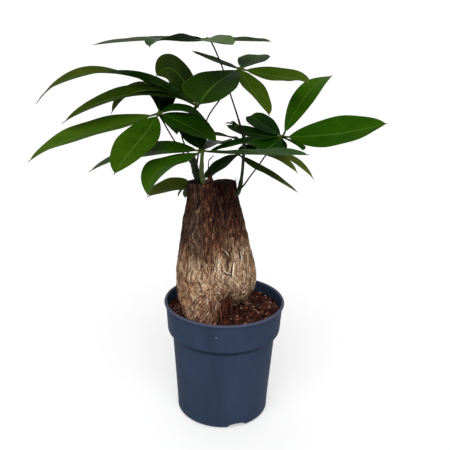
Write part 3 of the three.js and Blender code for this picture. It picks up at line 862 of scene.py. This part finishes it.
def leaf_material(name, greens, olives, undersides, gloss):
    """Leaf blade: paler underside, pale midrib, and side veins that curve to the margin."""
    g = Graph(name)
    place = g.place()
    along = g.attribute("along")
    across = g.math("ABSOLUTE", g.attribute("across"))
    top = g.spread(g.attribute("side"), 0.3, 0.7)
    stalk = g.attribute("stalk")
    blade = g.math("SUBTRACT", 1.0, g.spread(stalk, 0.2, 0.4))

    mottle = g.noise(place, 70, 4, 0.6)
    mood = g.plus(g.times(g.attribute("tone"), 0.5), g.spread(mottle, 0.2, 0.8, 0.42, 0.58))
    mood = g.plus(mood, g.spread(along, 0.2, 1.0, -0.04, 0.08))
    green = g.mix(g.attribute("olive"), g.ramp(mood, greens), g.ramp(mood, olives))
    colour = g.mix(top, g.ramp(mood, undersides), green)

    run = g.times(along, VEINS)
    run = g.math("SUBTRACT", run, g.times(g.math("POWER", across, VEIN_BEND), VEIN_SWEEP))
    run = g.plus(run, g.spread(g.noise(place, 90, 2), 0, 1, -0.35, 0.35))
    gap = g.math("ABSOLUTE", g.math("SUBTRACT", g.math("FRACT", run), 0.5))
    vein = g.times(g.spread(gap, 0.09, 0.02), g.spread(across, 0.98, 0.7))
    colour = g.mix(g.times(vein, 0.14), colour, g.mix(0.5, colour, rgb(110, 140, 50)))
    inputs = {"Vector": place, "Scale": 620.0}
    net = g.node("ShaderNodeTexVoronoi", inputs, feature="DISTANCE_TO_EDGE").outputs[0]
    colour = g.tinted(g.spread(net, 0.07, 0.0, 0, 0.12), colour, (0.7, 0.8, 0.5))
    rib = g.spread(across, 0.06, 0.02)
    colour = g.mix(g.times(rib, 0.4), colour, g.mix(top, rgb(86, 98, 48), rgb(84, 118, 44)))
    colour = g.mix(g.spread(across, 0.93, 1.0, 0, 0.2), colour, rgb(84, 92, 30))

    bark = g.mix(g.noise(g.scaled(place, (600, 600, 90)), 1, 3), rgb(10, 18, 5), rgb(38, 48, 20))
    stem = g.mix(g.spread(stalk, 0.55, 0.95), rgb(62, 78, 32), bark)
    colour = g.mix(g.spread(stalk, 0.2, 0.4), colour, stem)

    quilt = g.times(g.spread(gap, 0.0, 0.28), blade)
    relief = g.plus(g.times(quilt, 0.6), g.times(g.spread(net, 0, 0.2), 0.15))
    dullness = g.times(g.math("SUBTRACT", 1.0, top), 0.2)
    roughness = g.plus(g.spread(mottle, 0.2, 0.8, 0.36, 0.46), dullness)
    return g.finish(colour, roughness, g.bump(relief, 0.5, 0.12), specular=gloss)


# Pot

def cut_out(target, cutters):
    """Cuts closed pieces out of the target for good, and removes them."""
    for cutter in cutters:
        change = target.modifiers.new("cut", "BOOLEAN")
        change.operation = "DIFFERENCE"
        change.solver = "EXACT"
        change.object = cutter
    apply_modifiers(target)
    for cutter in cutters:
        bpy.data.objects.remove(cutter)


def apply_modifiers(piece):
    settled = bpy.data.meshes.new_from_object(piece.evaluated_get(bpy.context.evaluated_depsgraph_get()))
    old = piece.data
    piece.modifiers.clear()
    piece.data = settled
    bpy.data.meshes.remove(old)


def wall_radius(height):
    """The pot's outer radius at a height below its collar."""
    slope = (BODY_TOP_RADIUS - BODY_FOOT_RADIUS) / (BODY_TOP_HEIGHT - FOOT_ROUNDING)
    return BODY_FOOT_RADIUS + slope * (height - FOOT_ROUNDING)


def pot_profile():
    """The pot's section from the middle of its underside, round the lip and back to its floor."""
    lip_foot = POT_HEIGHT - 2 * LIP_ROUNDING
    collar_foot = (COLLAR_FOOT_RADIUS, COLLAR_FOOT_HEIGHT)
    inner_top = (COLLAR_TOP_RADIUS - WALL, POT_HEIGHT - 0.9)
    inner_foot = (inner_top[0] - INNER_TAPER, inner_top[1] - INNER_STRAIGHT)
    profile = [(AXIS, FOOT_RECESS), (BASE_RADIUS - 8, FOOT_RECESS)]
    profile += [(BASE_RADIUS - 7, 0), (BASE_RADIUS - 0.5, 0)]
    profile += arc(BASE_RADIUS - 0.4, FOOT_CURVE, FOOT_CURVE, -88, -25, 7)
    profile.append((BODY_FOOT_RADIUS, FOOT_ROUNDING))
    for ring in MOULD_RINGS:
        wall = wall_radius(ring)
        profile.append((wall, ring - MOULD_RING_BREADTH))
        profile.append((wall + MOULD_RING_RISE, ring))
        profile.append((wall, ring + MOULD_RING_BREADTH))
    profile += [(wall_radius(height), height) for height in np.linspace(16, BODY_TOP_HEIGHT - 1, 14)]
    profile += [(BODY_TOP_RADIUS, BODY_TOP_HEIGHT - 0.2), (BODY_TOP_RADIUS + 0.5, BODY_TOP_HEIGHT + 0.4)]
    profile.append((COLLAR_FOOT_RADIUS - 1.2, COLLAR_FOOT_HEIGHT - 2.4))
    profile.append((COLLAR_FOOT_RADIUS - 0.4, COLLAR_FOOT_HEIGHT - 1.3))
    profile += between(collar_foot, (COLLAR_TOP_RADIUS, lip_foot), (0, 0.1, 0.3, 0.5, 0.7, 0.9, 0.98))
    profile.append((RIM_RADIUS - 0.9, lip_foot + 0.1))
    profile += arc(RIM_RADIUS - LIP_CURVE, POT_HEIGHT - LIP_ROUNDING, LIP_CURVE, -60, 40, 6)
    profile += arc(RIM_RADIUS - 1.2, POT_HEIGHT - 1, 1, 50, 90, 3)
    profile += [(inner_top[0] + 0.8, POT_HEIGHT), (inner_top[0] + 0.25, POT_HEIGHT - 0.25)]
    profile += between(inner_top, inner_foot, (0, 0.25, 0.5, 0.75, 1))
    profile += [(BODY_TOP_RADIUS - WALL, BODY_TOP_HEIGHT), (BODY_FOOT_RADIUS - WALL, FOOT_ROUNDING)]
    profile += [(BASE_RADIUS - 1, FLOOR + 0.4), (BASE_RADIUS - 3, FLOOR), (AXIS, FLOOR)]
    return profile


def notch_cutter(turn):
    """A round-topped block that cuts a drain notch in the foot, at a turn in radians."""
    out = np.array([math.cos(turn), math.sin(turn), 0])
    beside = np.array([-math.sin(turn), math.cos(turn), 0])
    rings = []
    for reach in (BASE_RADIUS - 5, BASE_RADIUS + 10):
        ring = []
        for a in np.linspace(-8, 188, 24):
            width = 0.5 * NOTCH_WIDTH * math.cos(math.radians(a))
            rise = NOTCH_HEIGHT * max(math.sin(math.radians(a)), 0) ** NOTCH_SQUARENESS
            ring.append(out * reach + beside * width + np.array([0, 0, rise if 0 < a < 180 else -3]))
        rings.append(ring)
    return mesh_object("notch", *loft(rings))


def drain_cutter(turn):
    """A cylinder that cuts a drain hole in the floor, at a turn in radians."""
    centre = DRAIN_CIRCLE_RADIUS * np.array([math.cos(turn), math.sin(turn), 0])
    rings = lathe_rings([(DRAIN_HOLE_RADIUS, -4), (DRAIN_HOLE_RADIUS, 6)], 40)
    return mesh_object("drain", *loft([ring + centre for ring in rings]))


def build_pot(material, mark_material):
    vertices, faces = loft(lathe_rings(pot_profile(), POT_SIDES))
    pot = add_piece("pot_shell", vertices, faces, material, "pot_plastic", "pot")
    notches = [notch_cutter(math.radians(FIRST_NOTCH_ANGLE + 360 * i / NOTCHES)) for i in range(NOTCHES)]
    drains = [drain_cutter(math.tau * i / DRAIN_HOLES) for i in range(DRAIN_HOLES)]
    cut_out(pot, notches + drains)
    pot.data.shade_smooth()
    pot.data.set_sharp_from_angle(angle=math.radians(SHARP_EDGE))
    x, height = GATE_MARK
    share = (height - COLLAR_FOOT_HEIGHT) / COLLAR_HEIGHT
    radius = COLLAR_FOOT_RADIUS + (COLLAR_TOP_RADIUS - COLLAR_FOOT_RADIUS) * share
    depth = -math.sqrt(radius ** 2 - x ** 2)
    mark = tube([(x, depth + out, height) for out in (0.5, -0.05, -0.22)], GATE_MARK_RADII, 20)
    add_piece("pot_gate_mark", *mark, mark_material, "pot_plastic")


# Soil

def surface_height(x, y):
    """The height of the soil's surface: slightly domed, with waves and noise for its crumbs."""
    crumbs = math.sin(x / CRUMB_ALONG_X + 1) * math.cos(y / CRUMB_ALONG_Y)
    crumbs += 0.6 * math.sin((x - y) / CRUMB_SLANTED)
    coarse = noise.fractal(Vector((x / COARSE_WAVE, y / COARSE_WAVE, 3)), 0.8, 2.1, 4)
    fine = noise.noise(Vector((x / FINE_WAVE, y / FINE_WAVE, 7)))
    relief = CRUMB_RELIEF * crumbs + COARSE_RELIEF * coarse + FINE_RELIEF * fine
    return SOIL_HEIGHT - SOIL_DOMING * math.hypot(x, y) + relief


def build_soil(material):
    profile = [
        (AXIS, FLOOR + 0.4), (BASE_RADIUS - 2, FLOOR + 0.4), (BODY_FOOT_RADIUS - 2, 8),
        (BODY_TOP_RADIUS - 2, BODY_TOP_HEIGHT), (SOIL_RADIUS - 0.8, COLLAR_FOOT_HEIGHT + 1),
        (SOIL_RADIUS, SOIL_HEIGHT - 3),
    ]
    profile += [(SOIL_RADIUS * (1 - k / SOIL_RINGS) + AXIS, SOIL_HEIGHT) for k in range(SOIL_RINGS + 1)]
    vertices, faces = loft(lathe_rings(profile, SOIL_SIDES))
    for point in vertices:
        if point[2] > SOIL_HEIGHT - 0.5:
            point[2] = surface_height(point[0], point[1])
    add_piece("soil_body", vertices, faces, material, "soil", "soil")


def in_stump(x, y, margin):
    """True where a point of the soil's surface lies under the stump."""
    for limb in (LEFT_LIMB, RIGHT_LIMB):
        _, centre_x, centre_y, half_x, half_y = limb[SOIL_ROW]
        if math.hypot((x - centre_x) / (half_x + margin), (y - centre_y) / (half_y + margin)) < 1:
            return True
    return False


def soil_spot(margin, reach=SOIL_RADIUS - 1.5):
    """A random place on the soil beside the stump."""
    while True:
        radius = reach * math.sqrt(randomness.random())
        angle = math.tau * randomness.random()
        x = radius * math.cos(angle)
        y = radius * math.sin(angle)
        if not in_stump(x, y, margin):
            return x, y


def ball(subdivisions):
    shape = bmesh.new()
    bmesh.ops.create_icosphere(shape, subdivisions=subdivisions, radius=1)
    vertices = np.array([v.co[:] for v in shape.verts])
    faces = [tuple(v.index for v in f.verts) for f in shape.faces]
    shape.free()
    return vertices, faces


def lump(template, centre, size, seed, roughness=0.35):
    """A ball made irregular, flattened and turned at random."""
    vertices, faces = template
    shift = Vector((seed, 0, 0))
    push = np.array([1 + 2 * roughness * noise.noise(Vector(v) * 1.7 + shift) for v in vertices])
    flattened = np.array([1, randomness.uniform(0.6, 1), randomness.uniform(0.5, 0.85)])
    angle = randomness.uniform(0, math.tau)
    turn = Matrix.Rotation(angle, 3, Vector([randomness.gauss(0, 1) for _ in range(3)]))
    return vertices * push[:, None] * flattened * size @ np.array(turn).T + np.asarray(centre), faces


def build_crumbs(material):
    coarse = ball(2)
    small = ball(1)
    heap = Heap("shade")
    for k in range(CRUMBS):
        x, y = soil_spot(-1.5)
        size = randomness.uniform(*(SMALL_CRUMB if k % 6 else LARGE_CRUMB))
        centre = (x, y, surface_height(x, y) + 0.25 * size)
        vertices, faces = lump(coarse if size > LARGE_CRUMB[0] else small, centre, size, 3.1 * k)
        heap.add(vertices, faces, shade=randomness.random() ** 1.6)
    heap.build("soil_crumbs", material, "soil")


def build_perlite(material):
    grain = ball(2)
    heap = Heap()
    for k in range(PERLITE):
        x, y = soil_spot(-1)
        size = randomness.uniform(*PERLITE_SIZE)
        heap.add(*lump(grain, (x, y, surface_height(x, y) + 0.5 * size), size, 7.7 * k, 0.25))
    heap.build("soil_perlite", material, "soil")


def build_rootlets(material):
    """Thin roots that wander over the soil, with both ends sunk in it."""
    heap = Heap()
    for k in range(ROOTLETS):
        x, y = soil_spot(0, SOIL_RADIUS - 7)
        heading = randomness.uniform(0, math.tau)
        path = []
        for step in range(7):
            height = surface_height(x, y) + 0.7 + 0.5 * math.sin(step + k)
            path.append((x, y, height if 0 < step < 6 else height - 1.3))
            x += ROOTLET_STEP * math.cos(heading)
            y += ROOTLET_STEP * math.sin(heading)
            heading += randomness.uniform(-0.45, 0.45)
        if max(math.hypot(p[0], p[1]) for p in path) < SOIL_RADIUS - 1:
            heap.add(*tube(curve_points(path, 3), ROOTLET_RADII, 6))
    heap.build("soil_rootlets", material, "soil")


# Stump

def limb_part(rows):
    """One rounded body of the stump, through the ovals of its table."""
    angles = turn_angles(LIMB_SIDES)
    rings = []
    for height, x, y, half_x, half_y in curve_points(rows, 4):
        ridge = 1 + RIDGE_DEPTH * np.sin(RIDGES * angles + height / RIDGE_TWIST)
        across = x + half_x * ridge * np.cos(angles)
        deep = y + half_y * ridge * np.sin(angles)
        rings.append(np.column_stack([across, deep, np.full(LIMB_SIDES, height)]))
    return loft(rings)


def scar_strength(x, height, facing_y):
    """How much a point lies in a scar on the front, from 0 to 1, and how deep it is."""
    strongest = 0.0
    depth = 0.0
    if facing_y > 0:
        return strongest, depth
    for scar_x, scar_height, half_x, half_z, scar_depth in SCARS:
        apart = math.hypot((x - scar_x) / half_x, (height - scar_height) / half_z)
        strength = min(1.0, max(0.0, 1.25 - apart))
        strongest = max(strongest, strength)
        depth = max(depth, strength * scar_depth)
    return strongest, depth


def bark_push(point):
    """How far bark stands out at a point: long fibrous ridges, and lumps and matted roots below."""
    x, y, z = point
    wander = noise.noise_vector(Vector((x, y, z)) / WANDER_LENGTH) * WANDER

    def grain(shift, size):
        breadth, length = size
        return noise.noise(Vector(((x + shift.x) / breadth, (y + shift.y) / breadth, z / length)))

    fibres = 0.4 - 2 * abs(grain(wander, FIBRE))
    lumps = noise.fractal(Vector((x, y, z)) / LUMP, 0.9, 2, 3)
    low = min(max((KNOTS_START - z) / KNOTS_FADE, 0), 1)
    knots = low * grain(Vector(), KNOT)
    ridges = FIBRE_RELIEF * fibres + FINE_FIBRE_RELIEF * grain(wander, FINE_FIBRE)
    return ridges + LUMP_RELIEF * lumps + KNOT_RELIEF * knots


def build_stump(material):
    heap = Heap()
    for rows in (LEFT_LIMB, RIGHT_LIMB, HEART):
        heap.add(*limb_part(rows))
    stump = add_piece("stump", np.concatenate(heap.vertices), heap.faces, material, "bark", "trunk")
    change = stump.modifiers.new("join", "REMESH")
    change.mode = "VOXEL"
    change.voxel_size = BARK_VOXEL * MM
    stump.modifiers.new("smooth", "SMOOTH").iterations = BARK_SMOOTHING
    apply_modifiers(stump)
    mesh = stump.data
    count = len(mesh.vertices)
    places = np.empty(3 * count)
    mesh.vertices.foreach_get("co", places)
    places = places.reshape(-1, 3) / MM
    normals = np.empty(3 * count)
    mesh.vertices.foreach_get("normal", normals)
    normals = normals.reshape(-1, 3)
    scar_shade = np.zeros(count)
    for i, (point, facing) in enumerate(zip(places, normals)):
        scar_shade[i], depth = scar_strength(point[0], point[2], facing[1])
        level = CUT_RELIEF if facing[2] > 0.7 and point[2] > CUTS_ABOVE else 1.0
        places[i] = point + facing * (bark_push(point) * level - depth)
    mesh.vertices.foreach_set("co", (places * MM).ravel())
    mesh.attributes.new("scar", "FLOAT", "POINT").data.foreach_set("value", scar_shade)
    mesh.update()
    mesh.shade_smooth()
    return stump


class Bark:
    """Finds places on the finished stump."""

    def __init__(self, stump):
        corners = [v.co / MM for v in stump.data.vertices]
        self.tree = BVHTree.FromPolygons(corners, [tuple(p.vertices) for p in stump.data.polygons])

    def outward(self, height, angle):
        """The outermost place at a height, in a direction from the stump's middle, and its normal."""
        middle = Vector((-9, -4, height))
        direction = Vector((math.cos(angle), math.sin(angle), 0))
        place, normal, _, _ = self.tree.ray_cast(middle + direction * 90, -direction)
        return place, normal

    def front(self, x, height, lift):
        """A place on the front of the stump, lifted off it."""
        place, normal, _, _ = self.tree.ray_cast(Vector((x, -120, height)), Vector((0, 1, 0)))
        return place + normal * lift

    def settled(self, point, lift):
        """The nearest place on the stump, lifted off it."""
        place, normal, _, _ = self.tree.find_nearest(point)
        return place + normal * lift


def in_scar(path):
    """True where a path on the front crosses a scar."""
    return any(scar_strength(point.x, point.z, -1)[0] > 0.35 for point in path if point.y < 0)


def strand_path(bark, start, normal, step, slant, curl):
    """A path that runs down over the bark, and lifts off it towards its end."""
    path = []
    point = start
    for i in range(6):
        path.append(bark.settled(point, 0.05 + curl * (i / 5) ** 2))
        sideways = normal.cross(Vector((0, 0, 1)))
        point = path[-1] + step * (Vector((0, 0, -1)) + sideways * slant)
    return path


def add_strands(heap, bark):
    """Loose fibres all over the bark, steep above and slanted at random below."""
    for k in range(STRANDS):
        low = k % 5 > 0
        height = randomness.uniform(*(LOW_STRANDS if low else HIGH_STRANDS))
        start, normal = bark.outward(height, randomness.uniform(0, math.tau))
        if start is None or start.z < SOIL_HEIGHT + 2:
            continue
        slant = randomness.gauss(0, MATTED_SLANT if height < SLANTED_BELOW else STEEP_SLANT)
        step = randomness.uniform(*STRAND_STEP) / math.hypot(1, slant)
        curl = FLAT_HEIGHT if k % CURLED_EVERY else randomness.uniform(*CURL_HEIGHT)
        path = strand_path(bark, start, normal, step, slant, curl)
        if path[-1].z < SOIL_HEIGHT - 4 or in_scar(path):
            continue
        radii = randomness.uniform(*STRAND_RADII) * np.array((0.5, 1, 0.3))
        heap.add(*tube(path, radii, 4), shade=randomness.random())


def add_roots(heap, bark):
    """Matted roots on the front of the stump's foot."""
    for _ in range(ROOTS):
        height = randomness.uniform(*ROOT_HEIGHTS)
        start, normal = bark.outward(height, -math.pi / 2 + randomness.gauss(0.05, 0.36))
        if start is None:
            continue
        slant = randomness.gauss(0, ROOT_SLANT)
        step = randomness.uniform(*ROOT_STEP) / math.hypot(1, slant)
        path = strand_path(bark, start, normal, step, slant, 0.8)
        radii = randomness.uniform(*ROOT_RADII) * np.array((0.5, 1, 1, 0.4))
        heap.add(*tube(curve_points(path, 3), radii, 6), shade=randomness.random(), red=0.8)


def add_cleft_roots(heap, bark):
    """Roots that hang from the cleft at the front and end in the soil."""
    for _ in range(CLEFT_ROOTS):
        x = randomness.uniform(*CLEFT_ACROSS)
        top = bark.front(x, randomness.uniform(*CLEFT_HEIGHTS), 0.3)
        foot_x = x + randomness.gauss(0, 2.5)
        foot = Vector((foot_x, top.y - randomness.uniform(1, 7), SOIL_HEIGHT - 0.5))
        middle = (top + foot) / 2 + Vector((randomness.gauss(0, 1), -randomness.uniform(0.5, 2), 1))
        radii = randomness.uniform(*CLEFT_ROOT_RADII) * np.array((0.6, 1, 0.7))
        path = curve_points([top, middle, foot], 4)
        heap.add(*tube(path, radii, 6), shade=0.6 * randomness.random(), red=1.0)


def add_splinters(heap, bark):
    """Torn, pale splinters on the front, each with a dark shadow tube at its left."""
    for points, breadth in SPLINTERS:
        radii = breadth * np.array((0.25, 1, 0.8, 0.15))
        for beside, below, lift, shade in ((0, 0, 0.35, 0.95), (1.1 * breadth, 0.5, 0.15, 0.0)):
            line = [bark.front(x - beside, height - below, lift) for x, height in points]
            heap.add(*tube(curve_points(line, 5), radii, 8, 0.45), shade=shade)


def add_stubs(heap):
    """Broken stubs on the cut stems, with rough skins."""
    for points, radii, shade in STUBS:
        vertices, faces = tube(curve_points(points, 5), radii, 14)
        for i, point in enumerate(vertices):
            vertices[i] = point + 0.35 * np.array(noise.noise_vector(Vector(point) / 1.7))
        heap.add(vertices, faces, shade=shade, red=0.35)


def build_strands(bark, material):
    heap = Heap("shade", "red")
    add_strands(heap, bark)
    add_roots(heap, bark)
    add_cleft_roots(heap, bark)
    heap.build("bark_strands", material, "bark")
    heap = Heap("shade", "red")
    add_splinters(heap, bark)
    add_stubs(heap)
    heap.build("bark_splinters", material, "bark")


# Shoots

def build_shoot(name, material, slot):
    """A shoot that swells at its foot and at its nodes, where leaves have grown."""
    points, radii, swellings = SHOOTS[name]
    path = curve_points(points, 14)
    places = np.linspace(0, 1, len(path))
    radii = spread_along(radii, len(path)) * (1 + FOOT_SWELLING * np.exp(-(places / 0.1) ** 2))
    for swelling in swellings:
        radii *= 1 + NODE_SWELLING * np.exp(-((places - swelling) / NODE_LENGTH) ** 2)
    vertices, faces = tube(path, radii, SHOOT_SIDES)
    for i, point in enumerate(vertices):
        centre = path[i // SHOOT_SIDES]
        grow = 1 + 0.05 * noise.noise(Vector(point) / 1.6)
        vertices[i] = centre + (point - centre) * grow
    heap = Heap("foot")
    heap.add(vertices, faces, foot=np.repeat(np.clip(1 - places * 3.2, 0, 1), SHOOT_SIDES))
    heap.build(name + "_wood", material, slot, name)


# Leaves

def half_breadth(place, width):
    """Half of a blade's breadth at places between its base, 0, and its tip, 1."""
    inside = np.clip((place - BLADE_START) / (BLADE_END - BLADE_START), 0, 1)
    return np.maximum(
        BREADTH_FACTOR * width * inside ** BASE_ROUNDNESS * (1 - inside) ** TIP_ROUNDNESS, NARROWEST)


def midrib(leaflet, place):
    """Points of a midrib, measured from the hub."""
    tip = np.asarray(leaflet["tip"], float)
    bow = np.asarray(leaflet["bow"], float)
    points = np.outer(place, tip) + np.outer(4 * place * (1 - place), bow)
    hanging = np.maximum(0, (place - TAIL_START) / (1 - TAIL_START))
    points[:, 2] += HOOK_FACTOR * leaflet["hook"] * (place - place ** 4)
    points[:, 2] -= leaflet["tail"] * hanging ** 2
    return points


def blade_frames(leaflet, place):
    """The midrib's points and, at each, the blade's side and normal."""
    centre = midrib(leaflet, place)
    along = midrib(leaflet, place + 0.01) - midrib(leaflet, place - 0.01)
    along /= np.linalg.norm(along, axis=1, keepdims=True)
    tip = leaflet["tip"]
    sideways = np.array([tip[1], -tip[0], 0.0])
    normal = np.cross(sideways / np.linalg.norm(sideways), along)
    normal /= np.linalg.norm(normal, axis=1, keepdims=True)
    side = np.cross(along, normal)
    turn = leaflet["roll"] + leaflet["twist"] * place + leaflet["curl"] * place ** CURL_POWER
    turn = np.radians(turn)[:, None]
    turned_side = side * np.cos(turn) - normal * np.sin(turn)
    return centre, turned_side, normal * np.cos(turn) + side * np.sin(turn)


def add_blade(heap, hub, leaflet, olive, phase):
    """A thin blade, folded along a midrib that stands out below, with a waved margin."""
    place = 0.03 + 0.97 * (0.5 - 0.5 * np.cos(np.linspace(0.12, math.pi, STATIONS))) ** 0.9
    centre, side, normal = blade_frames(leaflet, place)
    centre = centre + np.asarray(hub, float)
    half = half_breadth(place, leaflet["width"])
    half[place > BLADE_END] *= np.clip((1 - place[place > BLADE_END]) / (1 - BLADE_END), 0.25, 1)
    across = np.array(ACROSS, float)
    thickness = np.interp(np.abs(across), (0, 1), (BLADE_MIDDLE_THICKNESS, BLADE_MARGIN_THICKNESS))
    fold = math.radians(BLADE_FOLD)
    rings = []
    for k in range(STATIONS):
        reach = half[k] * math.cos(fold) * across
        lift = half[k] * math.sin(fold) * np.abs(across) ** 1.15
        right_wave = np.sin(RIGHT_WAVES * place[k] + phase)
        left_wave = np.sin(LEFT_WAVES * place[k] + 2.3 * phase)
        lift += MARGIN_WAVE * half[k] * across ** 2 * np.where(across > 0, right_wave, left_wave)
        rib = RIB_HEIGHT * (1 - 0.75 * place[k]) * np.exp(-(reach / RIB_BREADTH) ** 2)
        base = centre[k] + np.outer(reach, side[k])
        above = base + np.outer(lift + 0.5 * thickness + 0.12 * rib, normal[k])
        below = base + np.outer(lift - 0.5 * thickness - rib, normal[k])
        rings.append(np.vstack([above, below[::-1]]))
    vertices, faces = loft(rings)
    columns = len(across)
    heap.add(
        vertices, faces,
        along=np.repeat(place, 2 * columns),
        across=np.tile(np.concatenate([across, across[::-1]]), STATIONS),
        side=np.tile(np.concatenate([np.ones(columns), np.zeros(columns)]), STATIONS),
        tone=leaflet["tone"], olive=olive, stalk=0.0,
    )
    short = midrib(leaflet, np.linspace(0, 0.1, 6)) + np.asarray(hub, float)
    heap.add(*tube(short, BLADE_STALK_RADII, 10), stalk=0.45, tone=leaflet["tone"])


def build_leaf(name, leaf, material, slot):
    """A leaf: its stalk, the hub and a blade for each leaflet."""
    heap = Heap("along", "across", "side", "tone", "stalk", "olive")
    path = curve_points(list(leaf["route"]) + [leaf["hub"]], 9)
    foot = leaf.get("foot", STALK_END_RADIUS)
    stem = leaf.get("stem", STALK_RADIUS)
    radii = (foot, 1.15 * stem, stem, 0.95 * stem, 0.95 * stem, stem, STALK_TOP_RADIUS)
    heap.add(*tube(path, radii, 12), stalk=0.6 if "stem" in leaf else 1.0)
    vertices, faces = ball(3)
    heap.add(vertices * HUB_RADIUS + np.asarray(leaf["hub"], float), faces, stalk=0.5)
    for k, leaflet in enumerate(leaf["leaflets"]):
        add_blade(heap, leaf["hub"], leaflet, leaf.get("olive", 0), 1.3 * k + len(name))
    heap.build(name + "_blades", material, slot, name)


# Surroundings

def build_camera():
    data = bpy.data.cameras.new("camera")
    data.sensor_width = SENSOR
    data.lens = FOCAL_PIXELS * SENSOR / PHOTO_WIDTH
    data.dof.use_dof = False
    camera = add_object("camera", data)
    turn = Matrix()
    for angle, axis in ((CAMERA_YAW, "Z"), (90 - CAMERA_PITCH, "X"), (CAMERA_ROLL, "Z")):
        turn = turn @ Matrix.Rotation(math.radians(angle), 4, axis)
    camera.matrix_world = Matrix.Translation(Vector(CAMERA_PLACE) * MM) @ turn
    bpy.context.scene.camera = camera


def add_sun(name, towards, strength, softness):
    """A soft, even light. Its direction is the one that it shines in."""
    data = bpy.data.lights.new(name, "SUN")
    data.energy = strength
    data.angle = math.radians(softness)
    light = add_object(name, data)
    light.rotation_euler = Vector(towards).to_track_quat("-Z", "Y").to_euler()


def build_floor():
    mesh = bpy.data.meshes.new("floor")
    signs = ((-1, -1), (1, -1), (1, 1), (-1, 1))
    corners = [(x * FLOOR_REACH, y * FLOOR_REACH, FLOOR_LEVEL) for x, y in signs]
    mesh.from_pydata(corners, [], [(0, 1, 2, 3)])
    g = Graph("floor")
    glow = {"Emission_Color": (1, 1, 1, 1), "Emission_Strength": FLOOR_GLOW}
    grey = rgb(FLOOR_GREY, FLOOR_GREY, FLOOR_GREY)
    mesh.materials.append(g.finish(grey, 0.9, specular=0.1, **glow))
    floor = add_object("floor", mesh)


def build_world():
    """A studio that is brightest near the floor, and dimmer overhead."""
    world = bpy.data.worlds.new("studio")
    world.use_nodes = True
    tree = world.node_tree
    place = tree.nodes.new("ShaderNodeTexCoord")
    parts = tree.nodes.new("ShaderNodeSeparateXYZ")
    tree.links.new(place.outputs["Generated"], parts.inputs[0])
    fade = tree.nodes.new("ShaderNodeMapRange")
    fade.interpolation_type = "SMOOTHSTEP"
    tree.links.new(parts.outputs["Z"], fade.inputs[0])
    for key, value in enumerate((*HORIZON_BAND, HORIZON_GLOW, SKY_GLOW), 1):
        fade.inputs[key].default_value = value
    background = tree.nodes["Background"]
    background.inputs["Color"].default_value = (1, 1, 1, 1)
    tree.links.new(fade.outputs[0], background.inputs["Strength"])
    bpy.context.scene.world = world


def build_surroundings():
    build_floor()
    build_world()
    for name, (towards, strength, softness) in SUNS.items():
        add_sun(name, towards, strength, softness)
    bpy.context.scene.view_settings.view_transform = "Standard"


def build_plant():
    build_pot(plastic_material(), gate_mark_material())
    build_soil(soil_material())
    build_crumbs(crumb_material())
    build_perlite(perlite_material())
    build_rootlets(rootlet_material())
    stump = build_stump(bark_material())
    build_strands(Bark(stump), strand_material())
    green = shoot_material("green_wood", rgb(16, 26, 9), rgb(40, 52, 24), rgb(46, 30, 22))
    pale = shoot_material("pale_wood", rgb(44, 54, 22), rgb(78, 86, 44), rgb(62, 44, 28))
    build_shoot("shoot_left", green, "green_shoot")
    build_shoot("shoot_right", green, "green_shoot")
    build_shoot("shoot_front", pale, "pale_shoot")
    greens = [
        (0, (3, 24, 2)), (0.15, (8, 42, 1)), (0.3, (18, 54, 2)),
        (0.5, (36, 73, 4)), (0.75, (58, 88, 6)), (1, (92, 112, 30)),
    ]
    undersides = [(0, (6, 28, 4)), (0.38, (22, 50, 10)), (0.5, (66, 84, 54)), (1, (104, 116, 84))]
    olives = [(0, (10, 30, 4)), (0.3, (36, 50, 8)), (0.5, (58, 66, 14)), (1, (104, 110, 44))]
    dull = leaf_material("leaf_green", greens, olives, undersides, 0.006)
    glossy = leaf_material("glossy_green", greens, olives, undersides, 0.035)
    young = leaf_material("young_green", [(0, (8, 26, 6)), (1, (60, 88, 26))], olives, undersides, 0.02)
    for name, leaf in LEAVES.items():
        if name == "leaf_young":
            build_leaf(name, leaf, young, "young_leaf")
        else:
            build_leaf(name, leaf, glossy if name in GLOSSY_LEAVES else dull, "leaf")


build_camera()
build_surroundings()
build_plant()
